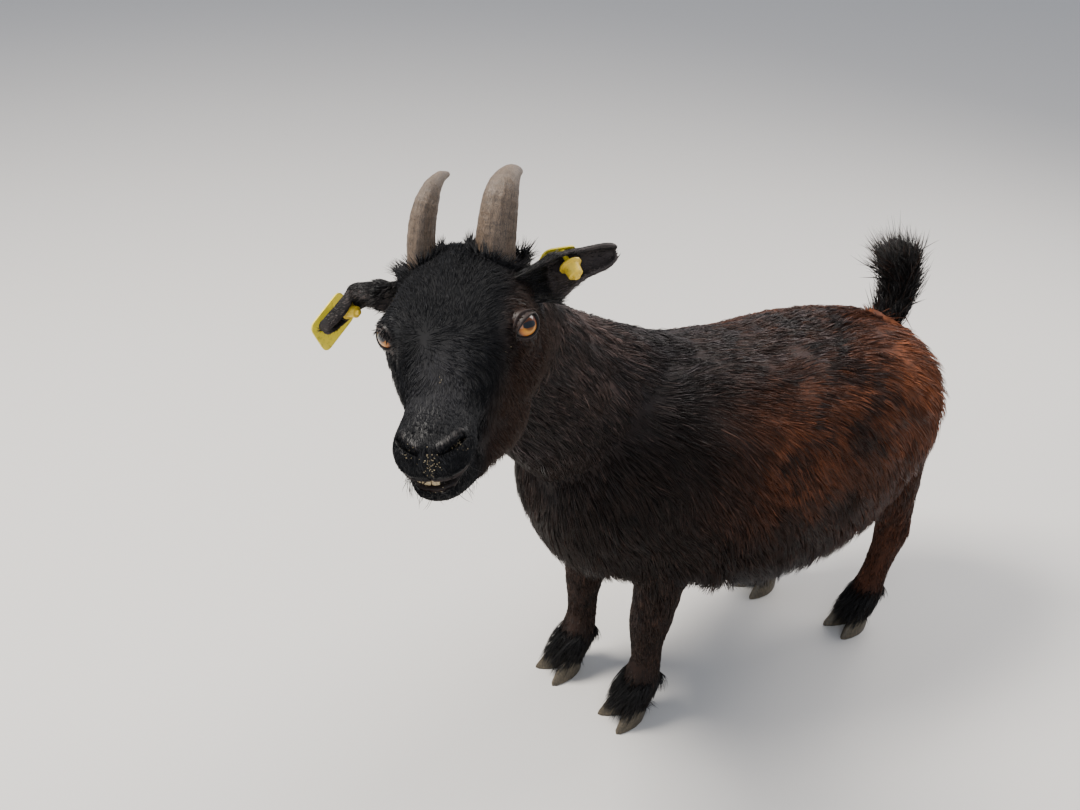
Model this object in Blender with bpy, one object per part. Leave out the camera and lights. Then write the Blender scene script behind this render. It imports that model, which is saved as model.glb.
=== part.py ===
"""A pygmy goat at life size, standing square with its head turned to its left, as a still museum model.

The flesh is lofted whole, in tubes round the bones' lines, fused by a voxel remesh, and then parted with thin
cuts into head, neck, trunk, legs and tail. Its surface is the outside of the coat. Ears, eyes, horns, hoofs
and ear tags are pieces of their own.

Frame: metres, +Z up, the goat faces -X, so its left side is -Y. The floor is Z = 0.
"""

import math

import bmesh
import bpy
import numpy as np
from mathutils import Matrix, Vector

# ---- driving dimensions ----
WITHERS = 0.480  # floor to the top of the shoulders
TRUNK_LENGTH = 0.545  # breast to buttocks
BARREL = 0.147  # half the width of the barrel
HEAD = 0.230  # back of the skull to the lips
EYE_RADIUS = 0.0130
EAR_LENGTH = 0.092
GAP = 0.0004  # between neighbouring pieces

# ---- the frame's origin is under the middle of the whole goat's box ----
TO_ORIGIN = Vector((0.12025, 0.0575, 0.0))

# ---- stance, before that shift ----
HEAD_AT = Vector((-0.444, -0.152, 0.635))  # between the eyes, on the forehead
HEAD_TURN, HEAD_DIP, HEAD_TILT = math.radians(52), math.radians(13), math.radians(9)

# ---- meshes ----
AROUND = 36  # points round a lofted tube
VOXEL = 0.0040
HEAD_TRIANGLES = 1000
BODY_TRIANGLES = 1440
HORN_AROUND, TAIL_AROUND = 11, 14

COLOURS = {
    "coat": (0.030, 0.020, 0.016),
    "horn": (0.33, 0.27, 0.20),
    "hoof": (0.045, 0.040, 0.035),
    "eye": (0.45, 0.20, 0.05),
    "tag": (0.75, 0.62, 0.04),
}
ROUGHNESS = {"coat": 0.7, "horn": 0.55, "hoof": 0.5, "eye": 0.08, "tag": 0.4}


# ---------------------------------------------------------------- helpers


def clear_scene():
    for obj in list(bpy.data.objects):
        bpy.data.objects.remove(obj, do_unlink=True)


def material(kind):
    found = bpy.data.materials.get(kind)
    if found:
        return found
    made = bpy.data.materials.new(kind)
    made.use_nodes = True
    shader = made.node_tree.nodes["Principled BSDF"]
    shader.inputs["Base Color"].default_value = (*COLOURS[kind], 1)
    shader.inputs["Roughness"].default_value = ROUGHNESS[kind]
    shader.inputs["Metallic"].default_value = 0.0
    return made


def add_object(name, shape, kind):
    """A scene object from a bmesh, with its faces out and its material on."""
    bmesh.ops.recalc_face_normals(shape, faces=shape.faces)
    mesh = bpy.data.meshes.new(name)
    shape.to_mesh(mesh)
    shape.free()
    mesh.materials.append(material(kind))
    mesh.shade_smooth()
    mesh.set_sharp_from_angle(angle=math.radians(40))
    obj = bpy.data.objects.new(name, mesh)
    bpy.context.scene.collection.objects.link(obj)
    return obj


def helper(obj):
    obj.hide_render = True
    obj.display_type = "WIRE"
    return obj


def baked(obj, name=None):
    """The object with its modifiers turned into mesh. The old object goes."""
    graph = bpy.context.evaluated_depsgraph_get()
    mesh = bpy.data.meshes.new_from_object(obj.evaluated_get(graph))
    obj.modifiers.clear()
    obj.data = mesh
    if name:
        obj.name = name
        mesh.name = name
    return obj


def cut(obj, cutter, operation="DIFFERENCE"):
    boolean = obj.modifiers.new(operation.lower(), "BOOLEAN")
    boolean.operation = operation
    boolean.object = cutter
    boolean.solver = "EXACT"
    return baked(obj)


def copy_of(obj, name):
    twin = obj.copy()
    twin.data = obj.data.copy()
    twin.name = name
    bpy.context.scene.collection.objects.link(twin)
    return twin


def grown(obj, by):
    """A hidden copy of a solid, with its surface moved out by a distance, to cut a neighbour with."""
    twin = copy_of(obj, obj.name + "_grown")
    shape = bmesh.new()
    shape.from_mesh(twin.data)
    bmesh.ops.remove_doubles(shape, verts=shape.verts, dist=1e-6)
    shape.normal_update()
    for vertex in shape.verts:
        vertex.co += vertex.normal * by * vertex.calc_shell_factor()
    shape.to_mesh(twin.data)
    shape.free()
    return helper(twin)


def spline(stations, count):
    """A Catmull-Rom curve through rows of numbers, read at evenly spread places."""
    rows = np.array(stations, float)
    ends = np.vstack([2 * rows[0] - rows[1], rows, 2 * rows[-1] - rows[-2]])
    at = np.linspace(0, len(rows) - 1, count)
    first = np.minimum(at.astype(int), len(rows) - 2)
    t = (at - first)[:, None]
    a, b, c, d = (ends[first + i] for i in range(4))
    return 0.5 * (2 * b + (c - a) * t + (2 * a - 5 * b + 4 * c - d) * t**2 + (3 * b - a - 3 * c + d) * t**3)


def section(centre, side, up, half_width, above, below, power=2.2, around=AROUND):
    """A closed oval of points whose upper and lower halves may differ in height."""
    angle = np.linspace(0, 2 * math.pi, around, endpoint=False)
    across = np.sign(np.cos(angle)) * np.abs(np.cos(angle)) ** (2 / power) * half_width
    high = np.sign(np.sin(angle)) * np.abs(np.sin(angle)) ** (2 / power)
    high = high * np.where(high > 0, above, below)
    return np.asarray(centre) + np.outer(across, side) + np.outer(high, up)


def loft(shape, rings, cupped=False):
    """Joins closed rings of points into a tube with closed ends, in a bmesh.

    The ends are fans from their middles. A cupped ring goes along its outer arc and back along its inner one,
    so its ends are strips between the two.
    """
    rows = [[shape.verts.new(point) for point in ring] for ring in rings]
    for row, after in zip(rows, rows[1:]):
        for i in range(len(row)):
            j = (i + 1) % len(row)
            shape.faces.new((row[i], row[j], after[j], after[i]))
    for row in (rows[0], rows[-1]):
        if cupped:
            for i in range(len(row) // 2 - 1):
                shape.faces.new((row[i], row[i + 1], row[-2 - i], row[-1 - i]))
            continue
        middle = shape.verts.new(sum((v.co for v in row), Vector()) / len(row))
        for i in range(len(row)):
            shape.faces.new((row[i], row[(i + 1) % len(row)], middle))


def tube_along(shape, path, side_hint, power=2.0, around=AROUND):
    """A tube along (x, y, z, half across the hint, half along it) rows; the hint is the section's side."""
    points = path[:, :3]
    ahead = np.gradient(points, axis=0)
    ahead /= np.linalg.norm(ahead, axis=1)[:, None]
    rings = []
    for point, forward, row in zip(points, ahead, path):
        side = side_hint - forward * (side_hint @ forward)
        side /= np.linalg.norm(side)
        up = np.cross(side, forward)
        rings.append(section(point, side, up, row[3], row[4], row[4], power, around))
    loft(shape, rings)


# ---------------------------------------------------------------- the flesh, whole


def trunk_rings():
    # along the trunk, then top, bottom and half width, as shares of length, withers height and barrel
    stations = [
        (0.520, 0.760, 0.600, 0.34),
        (0.495, 0.805, 0.540, 0.55),
        (0.440, 0.850, 0.460, 0.76),
        (0.345, 0.886, 0.385, 0.88),
        (0.215, 0.905, 0.330, 0.97),
        (0.080, 0.910, 0.308, 1.00),
        (-0.060, 0.925, 0.314, 0.98),
        (-0.190, 0.960, 0.350, 0.88),
        (-0.310, 0.985, 0.405, 0.76),
        (-0.400, 0.955, 0.455, 0.64),
        (-0.460, 0.875, 0.520, 0.48),
        (-0.490, 0.790, 0.600, 0.28),
    ]
    rings = []
    for along, top, bottom, wide in spline(stations, 30):
        low, high = bottom * WITHERS, top * WITHERS
        level = low + 0.46 * (high - low)
        centre = (along * TRUNK_LENGTH, 0, level)
        rings.append(section(centre, (0, 1, 0), (0, 0, 1), wide * BARREL, high - level, level - low, 2.15))
    return rings


NECK = [  # x, y, z, half width, half depth
    (-0.110, 0.000, 0.355, 0.084, 0.105),
    (-0.190, -0.002, 0.398, 0.078, 0.098),
    (-0.260, -0.016, 0.450, 0.067, 0.085),
    (-0.322, -0.046, 0.508, 0.057, 0.071),
    (-0.385, -0.098, 0.572, 0.050, 0.058),
]


def head_frame():
    """Turns head places (forward along the nose, left, out of the forehead) into the stance."""
    turn = Matrix.Rotation(math.pi + HEAD_TURN, 4, "Z")
    dip = Matrix.Rotation(HEAD_DIP, 4, "Y")
    tilt = Matrix.Rotation(HEAD_TILT, 4, "X")
    return Matrix.Translation(HEAD_AT) @ turn @ dip @ tilt


# along the head from between the eyes, then top, bottom and half width, as shares of the head's length
SKULL = [
    (-0.430, -0.130, -0.330, 0.125),
    (-0.365, -0.030, -0.420, 0.198),
    (-0.270, 0.042, -0.480, 0.240),
    (-0.150, 0.058, -0.505, 0.252),
    (-0.040, 0.040, -0.500, 0.256),
    (0.060, 0.006, -0.470, 0.244),
    (0.160, -0.026, -0.425, 0.204),
    (0.270, -0.048, -0.365, 0.158),
    (0.380, -0.062, -0.300, 0.124),
    (0.480, -0.074, -0.264, 0.118),
    (0.555, -0.106, -0.250, 0.104),
    (0.594, -0.158, -0.236, 0.062),
]
JAW = [  # the lower jaw's own tube, in the same shares
    (-0.120, -0.260, -0.545, 0.185),
    (0.060, -0.250, -0.550, 0.208),
    (0.230, -0.235, -0.500, 0.184),
    (0.380, -0.240, -0.424, 0.126),
    (0.475, -0.246, -0.384, 0.094),
    (0.530, -0.262, -0.356, 0.062),
]
JAW_SWING = -0.0050  # how far chewing has moved the chin, to the goat's right


def head_rings(stations, count, power, swing=0.0):
    """The sections of one tube of the head, whose front end swings a little to one side."""
    frame = head_frame()
    front = stations[-1][0] * HEAD
    side, up = (frame.to_3x3() @ Vector(v) for v in ((0, 1, 0), (0, 0, 1)))
    rings = []
    for along, top, bottom, wide in spline(stations, count) * HEAD:
        level = bottom + 0.52 * (top - bottom)
        centre = frame @ Vector((along, swing * max(along / front, 0), level))
        rings.append(section(centre, side, up, wide, top - level, level - bottom, power))
    return rings


FORE = [  # x, y outwards, z, half width, half depth
    (-0.130, 0.050, 0.345, 0.040, 0.066),
    (-0.130, 0.058, 0.262, 0.039, 0.054),
    (-0.131, 0.058, 0.200, 0.031, 0.037),
    (-0.138, 0.057, 0.136, 0.0245, 0.0260),
    (-0.138, 0.057, 0.108, 0.0200, 0.0205),
    (-0.137, 0.056, 0.080, 0.0185, 0.0190),
    (-0.142, 0.056, 0.050, 0.0230, 0.0220),
    (-0.152, 0.056, 0.027, 0.0230, 0.0190),
]
HIND = [
    (0.195, 0.052, 0.360, 0.045, 0.074),
    (0.197, 0.070, 0.290, 0.045, 0.072),
    (0.207, 0.077, 0.222, 0.034, 0.050),
    (0.228, 0.076, 0.168, 0.0235, 0.0300),
    (0.233, 0.076, 0.135, 0.0210, 0.0265),
    (0.220, 0.076, 0.092, 0.0170, 0.0185),
    (0.207, 0.076, 0.050, 0.0210, 0.0210),
    (0.194, 0.075, 0.027, 0.0220, 0.0185),
]
STEP = {  # how far back, and how far out, each foot stands from its place in the rows above
    "fore_left": (0.000, 0.000),
    "fore_right": (-0.022, -0.010),
    "hind_left": (0.000, 0.000),
    "hind_right": (-0.052, -0.032),
}
LEG_ROWS = 26


def legs():
    """Each leg's name, and its rows with the feet in the places of this stance."""
    for name, (back, out) in STEP.items():
        rows = np.array(FORE if name.startswith("fore") else HIND)
        share = 1 - rows[:, 2] / rows[0, 2]
        rows[:, 0] += back * share
        rows[:, 1] += out * share
        rows[:, 1] *= -1 if name.endswith("left") else 1
        yield name, spline(rows, LEG_ROWS)


def whole_flesh():
    shape = bmesh.new()
    loft(shape, trunk_rings())
    tube_along(shape, spline(NECK, 14), np.array((0.0, 1.0, 0.0)))
    for _, rows in legs():
        tube_along(shape, rows, np.array((0.0, 1.0, 0.0)))
    loft(shape, head_rings(SKULL, 30, 2.3))
    loft(shape, head_rings(JAW, 16, 2.3, JAW_SWING))
    obj = add_object("flesh", shape, "coat")
    remesh = obj.modifiers.new("fuse", "REMESH")
    remesh.mode = "VOXEL"
    remesh.voxel_size = VOXEL
    smooth = obj.modifiers.new("smooth", "SMOOTH")
    smooth.factor = 0.5
    smooth.iterations = 8
    baked(obj)
    press_features(obj)
    thin_out(obj)
    return obj


HEAD_STROKES = [  # place on the left of the head, reach and push of each stroke, in head places
    ((0.010, 0.064, -0.022), 0.016, (0, -0.004, 0.000)),  # eye socket
    ((-0.006, 0.054, 0.002), 0.016, (0, 0.003, 0.005)),  # brow
    ((0.034, 0.046, -0.036), 0.018, (0, -0.004, 0.000)),  # below the eye
    ((-0.020, 0.056, -0.066), 0.032, (0, 0.005, 0.000)),  # cheek
    ((0.080, 0.036, -0.042), 0.022, (0, -0.004, 0.000)),  # in front of the cheek
    ((0.116, 0.032, -0.032), 0.015, (0, 0.003, 0.002)),  # nostril wing
    ((0.122, 0.030, -0.058), 0.012, (-0.002, -0.003, 0.000)),  # corner of the mouth
]


def press_features(obj):
    """Pushes the surface in or out round each stroke, on both sides of the head."""
    frame = head_frame()
    turn = frame.to_3x3()
    points = np.empty(len(obj.data.vertices) * 3)
    obj.data.vertices.foreach_get("co", points)
    points = points.reshape(-1, 3)
    for place, reach, push in HEAD_STROKES:
        for side in (1, -1):
            at = frame @ Vector((place[0], side * place[1], place[2]))
            move = turn @ Vector((push[0], side * push[1], push[2]))
            near = np.exp(-(((points - np.array(at)) ** 2).sum(1)) / reach**2)
            points += near[:, None] * np.array(move)
    obj.data.vertices.foreach_set("co", points.ravel())
    obj.data.update()


HEAD_REACH = 0.150  # round a point inside the head, where the mesh stays finer


def thin_out(obj):
    """Fewer triangles: first on the body, then on the head."""
    middle = head_frame() @ Vector((0.015, 0, -0.050))
    triangulate = obj.modifiers.new("triangles", "TRIANGULATE")
    triangulate.quad_method = "SHORTEST_DIAGONAL"
    baked(obj)
    for on_head, wanted in ((False, BODY_TRIANGLES), (True, HEAD_TRIANGLES)):
        points = obj.data.vertices
        inside = {v.index for v in points if ((v.co - middle).length < HEAD_REACH) == on_head}
        group = obj.vertex_groups.new(name="thinned")
        group.add(list(inside), 1.0, "REPLACE")
        faces = sum(1 for face in obj.data.polygons if face.vertices[0] in inside)
        total = len(obj.data.polygons)
        decimate = obj.modifiers.new("thin", "DECIMATE")
        decimate.ratio = (total - faces + wanted) / total
        decimate.vertex_group = group.name
        decimate.use_collapse_triangulate = True
        baked(obj)
        obj.vertex_groups.clear()


# ---------------------------------------------------------------- parting the flesh


def slab_box(name, low, high, turn=Matrix.Identity(4)):
    """A box from corner to corner, then turned: one side of a cut."""
    shape = bmesh.new()
    bmesh.ops.create_cube(shape, size=1)
    size = Vector(high) - Vector(low)
    middle = (Vector(high) + Vector(low)) / 2
    bmesh.ops.scale(shape, vec=size, verts=shape.verts)
    bmesh.ops.translate(shape, vec=middle, verts=shape.verts)
    bmesh.ops.transform(shape, matrix=turn, verts=shape.verts)
    return helper(add_object(name, shape, "coat"))


def plane_frame(at, normal):
    """A frame at a place, with Z along the normal."""
    return Matrix.Translation(at) @ Vector(normal).to_track_quat("Z", "Y").to_matrix().to_4x4()


REACH = 0.30  # half the size of a cutting box


def halves(obj, keep_name, at, normal):
    """Cuts the part in front of a plane off an object, leaving a gap. It gives the cut-off part."""
    frame = plane_frame(at, normal)
    front = slab_box("front", (-REACH, -REACH, GAP / 2), (REACH, REACH, REACH * 2), frame)
    behind = slab_box("behind", (-REACH, -REACH, -GAP / 2), (REACH, REACH, REACH * 2), frame)
    part = copy_of(obj, keep_name)
    cut(part, front, "INTERSECT")
    cut(obj, behind, "DIFFERENCE")
    for box in (front, behind):
        bpy.data.objects.remove(box)
    return part


HEAD_CUT = ((-0.347, -0.060, 0.538), (-0.66, -0.52, 0.55))  # a point on the plane, and its way out
NECK_CUT = ((-0.225, -0.008, 0.425), (-0.78, -0.12, 0.62))
KNEE_HEIGHT = {"fore": 0.120, "hind": 0.146}


def part_flesh(flesh):
    made = {
        "head": halves(flesh, "head", Vector(HEAD_CUT[0]), HEAD_CUT[1]),
        "neck": halves(flesh, "neck", Vector(NECK_CUT[0]), NECK_CUT[1]),
    }
    for name, rows in legs():
        upper = cut_leg(flesh, f"leg_{name}_upper", rows, name)
        made[upper.name] = upper
        lower = f"leg_{name}_lower"
        made[lower] = halves(upper, lower, Vector((0, 0, KNEE_HEIGHT[name[:4]])), (0, 0, -1))
    flesh.name = "trunk"
    made["trunk"] = flesh
    return made


LEG_TOP = {"fore": 0.222, "hind": 0.245}
LEG_REACH = {"fore": (0.062, 0.048), "hind": (0.066, 0.078)}  # ahead of and behind the leg's line
LEG_LEAN = {"fore": math.radians(-6), "hind": math.radians(12)}
LEG_INNER, LEG_OUTER = 0.018, 0.200  # from the middle of the body
FLARE, FLARE_TOP, FLARE_FULL = 0.060, -0.085, -0.120  # the cutting shape is wider below the belly


def cut_leg(flesh, name, rows, leg_name):
    """Parts a leg from the trunk inside an upright shape round it, whose lid leans with the body's line."""
    kind = leg_name[:4]
    top = LEG_TOP[kind]
    line = rows[np.argmin(np.abs(rows[:, 2] - top))]
    turn = Matrix.Rotation(-LEG_LEAN[kind], 4, "Y")
    if leg_name.endswith("left"):
        turn = turn @ Matrix.Scale(-1, 4, (0, 1, 0))
    place = Matrix.Translation((line[0], 0, top)) @ turn
    parts = []
    for label, slack in (("inside", 0.0), ("around", GAP)):
        ahead, behind = (reach + slack for reach in LEG_REACH[kind])
        outline = [
            (-ahead, slack),
            (behind, slack),
            (behind, FLARE_TOP),
            (behind + FLARE, FLARE_FULL),
            (behind + FLARE, -0.30),
            (-ahead - FLARE, -0.30),
            (-ahead - FLARE, FLARE_FULL),
            (-ahead, FLARE_TOP),
        ]
        shape = bmesh.new()
        near = [shape.verts.new((x, LEG_INNER - slack, z)) for x, z in outline]
        away = [shape.verts.new((x, LEG_OUTER + slack, z)) for x, z in outline]
        shape.faces.new(near)
        shape.faces.new(away)
        for i in range(len(outline)):
            j = (i + 1) % len(outline)
            shape.faces.new((near[i], near[j], away[j], away[i]))
        bmesh.ops.triangulate(shape, faces=shape.faces)
        bmesh.ops.transform(shape, matrix=place, verts=shape.verts)
        parts.append(helper(add_object(label, shape, "coat")))
    part = copy_of(flesh, name)
    cut(part, parts[0], "INTERSECT")
    cut(flesh, parts[1], "DIFFERENCE")
    for box in parts:
        bpy.data.objects.remove(box)
    return part


# ---------------------------------------------------------------- the pieces of their own


EYE_AT = (0.004, 0.0468, -0.0235)  # in head places, on the left
GAZE = (0.60, 0.72, 0.33)
EYE_BULGE, EYE_RIM = 0.0012, 0.60


def eye(side, extra=0.0):
    """An eyeball whose clear front stands a little out of the ball. extra makes it larger all round."""
    name = "eye_left" if side > 0 else "eye_right"
    frame = head_frame()
    middle = frame @ Vector((EYE_AT[0], side * EYE_AT[1], EYE_AT[2]))
    gaze = frame.to_3x3() @ Vector((GAZE[0], side * GAZE[1], GAZE[2]))
    shape = bmesh.new()
    bmesh.ops.create_uvsphere(shape, u_segments=12, v_segments=8, radius=EYE_RADIUS)
    for vertex in shape.verts:
        front = vertex.co.z / EYE_RADIUS
        if front > EYE_RIM:
            vertex.co.z += EYE_BULGE * (front - EYE_RIM) / (1 - EYE_RIM)
        vertex.co *= 1 + extra / EYE_RADIUS
    bmesh.ops.transform(shape, matrix=plane_frame(middle, gaze), verts=shape.verts)
    return add_object(name, shape, "eye")


HORNS = {  # along each horn in head places, then half width and half depth
    "left": [
        (-0.044, 0.024, -0.030, 0.0155, 0.0140),
        (-0.058, 0.026, 0.004, 0.0160, 0.0140),
        (-0.070, 0.031, 0.027, 0.0152, 0.0130),
        (-0.083, 0.035, 0.039, 0.0135, 0.0115),
        (-0.097, 0.039, 0.040, 0.0100, 0.0090),
        (-0.109, 0.042, 0.034, 0.0054, 0.0050),
    ],
    "right": [
        (-0.044, -0.033, -0.030, 0.0112, 0.0155),
        (-0.058, -0.031, 0.004, 0.0114, 0.0155),
        (-0.070, -0.026, 0.027, 0.0104, 0.0142),
        (-0.083, -0.020, 0.039, 0.0088, 0.0118),
        (-0.097, -0.015, 0.041, 0.0066, 0.0086),
        (-0.109, -0.012, 0.036, 0.0038, 0.0046),
    ],
}


def horn(side, extra=0.0):
    """A short horn that rises from the poll and sweeps back, with a blunt tip."""
    label = "left" if side > 0 else "right"
    frame = head_frame()
    rows = spline(HORNS[label], 11)
    last = rows[-1].copy()
    last[:3] += (rows[-1] - rows[-2])[:3] * 0.45
    last[3:] *= 0.55
    rows = np.vstack([rows, last])
    rows[:, 3:] += extra
    for row in rows:
        row[:3] = frame @ Vector(row[:3])
    shape = bmesh.new()
    side_way = np.array(frame.to_3x3() @ Vector((0, 1, 0)))
    tube_along(shape, rows, side_way, 1.9, HORN_AROUND)
    return add_object(f"horn_{label}", shape, "horn")


# the ear's root, the way it points and the way its back faces, in head places
EAR_PLACE = {
    "left": ((-0.046, 0.046, -0.0218), (-0.72, 0.65, -0.23), (-0.57, -0.76, -0.18)),
    "right": ((-0.046, -0.047, -0.024), (0.01, -0.92, -0.39), (-0.87, -0.10, 0.47)),
}


def ear_frame(label):
    """A frame where the ear grows, with X along it, Y across it and Z out of its back."""
    frame = head_frame()
    root, along, back = EAR_PLACE[label]
    return facing(frame @ Vector(root), frame.to_3x3() @ Vector(along), frame.to_3x3() @ Vector(back))


def facing(place, along, out):
    """A frame at a place with X along one way and Z as near as can be to another."""
    x_way = along.normalized()
    z_way = (out - x_way * out.dot(x_way)).normalized()
    rows = Matrix((x_way, z_way.cross(x_way), z_way)).transposed().to_4x4()
    return Matrix.Translation(place) @ rows


EAR = [  # half width as a share of the length, and half the cup's arc in degrees
    (0.205, 98),
    (0.212, 98),
    (0.188, 98),
    (0.160, 98),
    (0.136, 98),
    (0.124, 98),
    (0.100, 118),
    (0.066, 146),
]
EAR_LINE = {  # the middle of the back at the same stations, in shares of the length
    "left": (
        (-0.05, 0.00, 0.00),
        (0.08, 0.00, 0.01),
        (0.26, 0.00, 0.04),
        (0.46, 0.00, 0.05),
        (0.64, 0.00, 0.04),
        (0.80, 0.00, 0.01),
        (0.92, 0.00, 0.00),
        (1.00, 0.00, 0.00),
    ),
    "right": (
        (0.02, 0.00, 0.08),
        (0.12, 0.00, 0.14),
        (0.26, 0.00, 0.19),
        (0.42, 0.00, 0.245),
        (0.55, 0.01, 0.235),
        (0.65, 0.05, 0.155),
        (0.73, 0.12, 0.040),
        (0.82, 0.20, -0.090),
    ),
}
EAR_ARC = 8  # points along the ear's arc, on each face
EAR_RINGS = 13
EAR_THICK = 0.0034


def ear_sections(label):
    """The frame, radius and half arc of each of the ear's sections, Z out of its back."""
    rows = spline([(*place, *size) for place, size in zip(EAR_LINE[label], EAR)], EAR_RINGS)
    rows[:, :4] *= EAR_LENGTH
    tangents = np.gradient(rows[:, :3], axis=0)
    for (x, y, z, radius, half), tangent in zip(rows, tangents):
        frame = ear_frame(label) @ facing(Vector((x, y, z)), Vector(tangent), Vector((0, 0, 1)))
        yield frame, radius, math.radians(half)


def ear(label, extra=0.0):
    """A cupped leaf of even thickness, rolled in towards its blunt tip."""
    rings = []
    for frame, radius, half in ear_sections(label):
        half += extra / radius
        spread = np.linspace(-half, half, EAR_ARC)
        inner = max(radius - EAR_THICK, 0.0015)
        arcs = [(radius + extra, a) for a in spread] + [(inner - extra, a) for a in spread[::-1]]
        ring = [frame @ Vector((0, r * math.sin(a), r * math.cos(a) - radius)) for r, a in arcs]
        rings.append(ring)
    root = ear_frame(label).to_3x3().col[0]
    rings[0] = [point - root * extra for point in rings[0]]
    shape = bmesh.new()
    loft(shape, rings, cupped=True)
    return add_object(f"ear_{label}", shape, "coat")


def tail():
    """The upright tail with its fan of long hair, as one flattened brush."""
    rows = [  # x, y, z, half width, half depth
        (0.222, 0.000, 0.375, 0.018, 0.022),
        (0.250, 0.000, 0.405, 0.019, 0.023),
        (0.258, 0.000, 0.434, 0.023, 0.028),
        (0.254, 0.000, 0.462, 0.029, 0.036),
        (0.245, 0.000, 0.488, 0.028, 0.037),
        (0.238, 0.000, 0.508, 0.012, 0.015),
    ]
    shape = bmesh.new()
    tube_along(shape, spline(rows, 10), np.array((0.0, 1.0, 0.0)), 2.0, TAIL_AROUND)
    return add_object("tail", shape, "coat")


HOOF_LENGTH, CLAW_WIDTH, HOOF_HEIGHT = 0.050, 0.0185, 0.027
CLAW_POINTS = 12
CLAW_SECTIONS = (  # height, then length and width, then how far back, as shares
    (0.00, 1.00, 1.00, 0.00),
    (0.10, 1.00, 1.05, 0.01),
    (0.45, 0.87, 1.00, 0.08),
    (0.80, 0.74, 0.92, 0.15),
    (1.00, 0.66, 0.82, 0.18),
)
SPLAY = {"fore": math.radians(15), "hind": math.radians(9)}


def claw(name, middle, splay):
    """One half of a cloven hoof: a flat sole, a slanting toe and a bulb at the heel."""
    rings = []
    for height, length, width, back in CLAW_SECTIONS:
        ring = []
        for i in range(CLAW_POINTS):
            turn = 2 * math.pi * i / CLAW_POINTS
            along = -math.cos(turn)  # -1 at the toe
            narrow = 1 - 0.38 * max(0.0, -along) ** 1.5
            across = math.copysign(abs(math.sin(turn)) ** 0.85, math.sin(turn)) * narrow
            x = along * HOOF_LENGTH / 2 * length + back * HOOF_LENGTH
            ring.append(Vector((x, across * CLAW_WIDTH / 2 * width, height * HOOF_HEIGHT)))
        rings.append(ring)
    shape = bmesh.new()
    loft(shape, rings)
    bmesh.ops.transform(
        shape, matrix=Matrix.Translation(middle) @ Matrix.Rotation(splay, 4, "Z"), verts=shape.verts
    )
    return add_object(name, shape, "hoof")


def hoofs():
    """Two claws under each leg, toes a little apart, by the name of the leg."""
    for name, rows in legs():
        foot = rows[-1]
        pair = []
        for label, sign in (("left", -1), ("right", 1)):
            outward = sign * (CLAW_WIDTH / 2 + 0.0030)
            middle = Vector((foot[0] - 0.010, foot[1] + outward, 0))
            pair.append(claw(f"hoof_{name}_{label}_claw", middle, -sign * SPLAY[name[:4]]))
        yield name, pair


DEWCLAW = (0.0055, 0.0048, 0.0090)  # half its depth, width and height
DEWCLAW_HEIGHT, DEWCLAW_APART = 0.050, 0.0095


def dewclaws(leg_obj, rows):
    """The two small claws behind the pastern, grown from the leg."""
    x, y, _, _, depth = rows[np.argmin(np.abs(rows[:, 2] - DEWCLAW_HEIGHT))]
    for side in (-1, 1):
        shape = bmesh.new()
        bmesh.ops.create_uvsphere(shape, u_segments=6, v_segments=5, radius=1)
        bmesh.ops.scale(shape, vec=DEWCLAW, verts=shape.verts)
        place = Matrix.Translation((x + depth, y + side * DEWCLAW_APART, DEWCLAW_HEIGHT))
        bmesh.ops.transform(shape, matrix=place, verts=shape.verts)
        knob = helper(add_object("knob", shape, "coat"))
        cut(leg_obj, knob, "UNION")
        bpy.data.objects.remove(knob)


TAG_PIN = {  # the ring of the ear that each pin goes through, degrees round it from the back, and its lean
    "left": (5, -40, 10),
    "right": (9, -30, 6),
}
TAG_PLATE = {  # long, wide, then how far its middle lies from the pin along and across
    "left": (0.030, 0.024, -0.002, 0.008),
    "right": (0.042, 0.030, 0.008, -0.008),
}
PLATE_THICK, PLATE_CORNER, PLATE_CLEAR = 0.0014, 0.006, 0.0032
FLANGE = {"left": 1.0, "right": 0.78}  # how wide the button is, as a share of the sizes below
PIN_RADIUS, PIN_END = 0.0020, -0.0190
BUTTON = [  # radius and height over the ear's outer face
    (0.0092, -0.0108),
    (0.0092, -0.0124),
    (0.0066, -0.0128),
    (0.0060, -0.0212),
    (0.0030, -0.0215),
    (0.0026, -0.0240),
]


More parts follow.
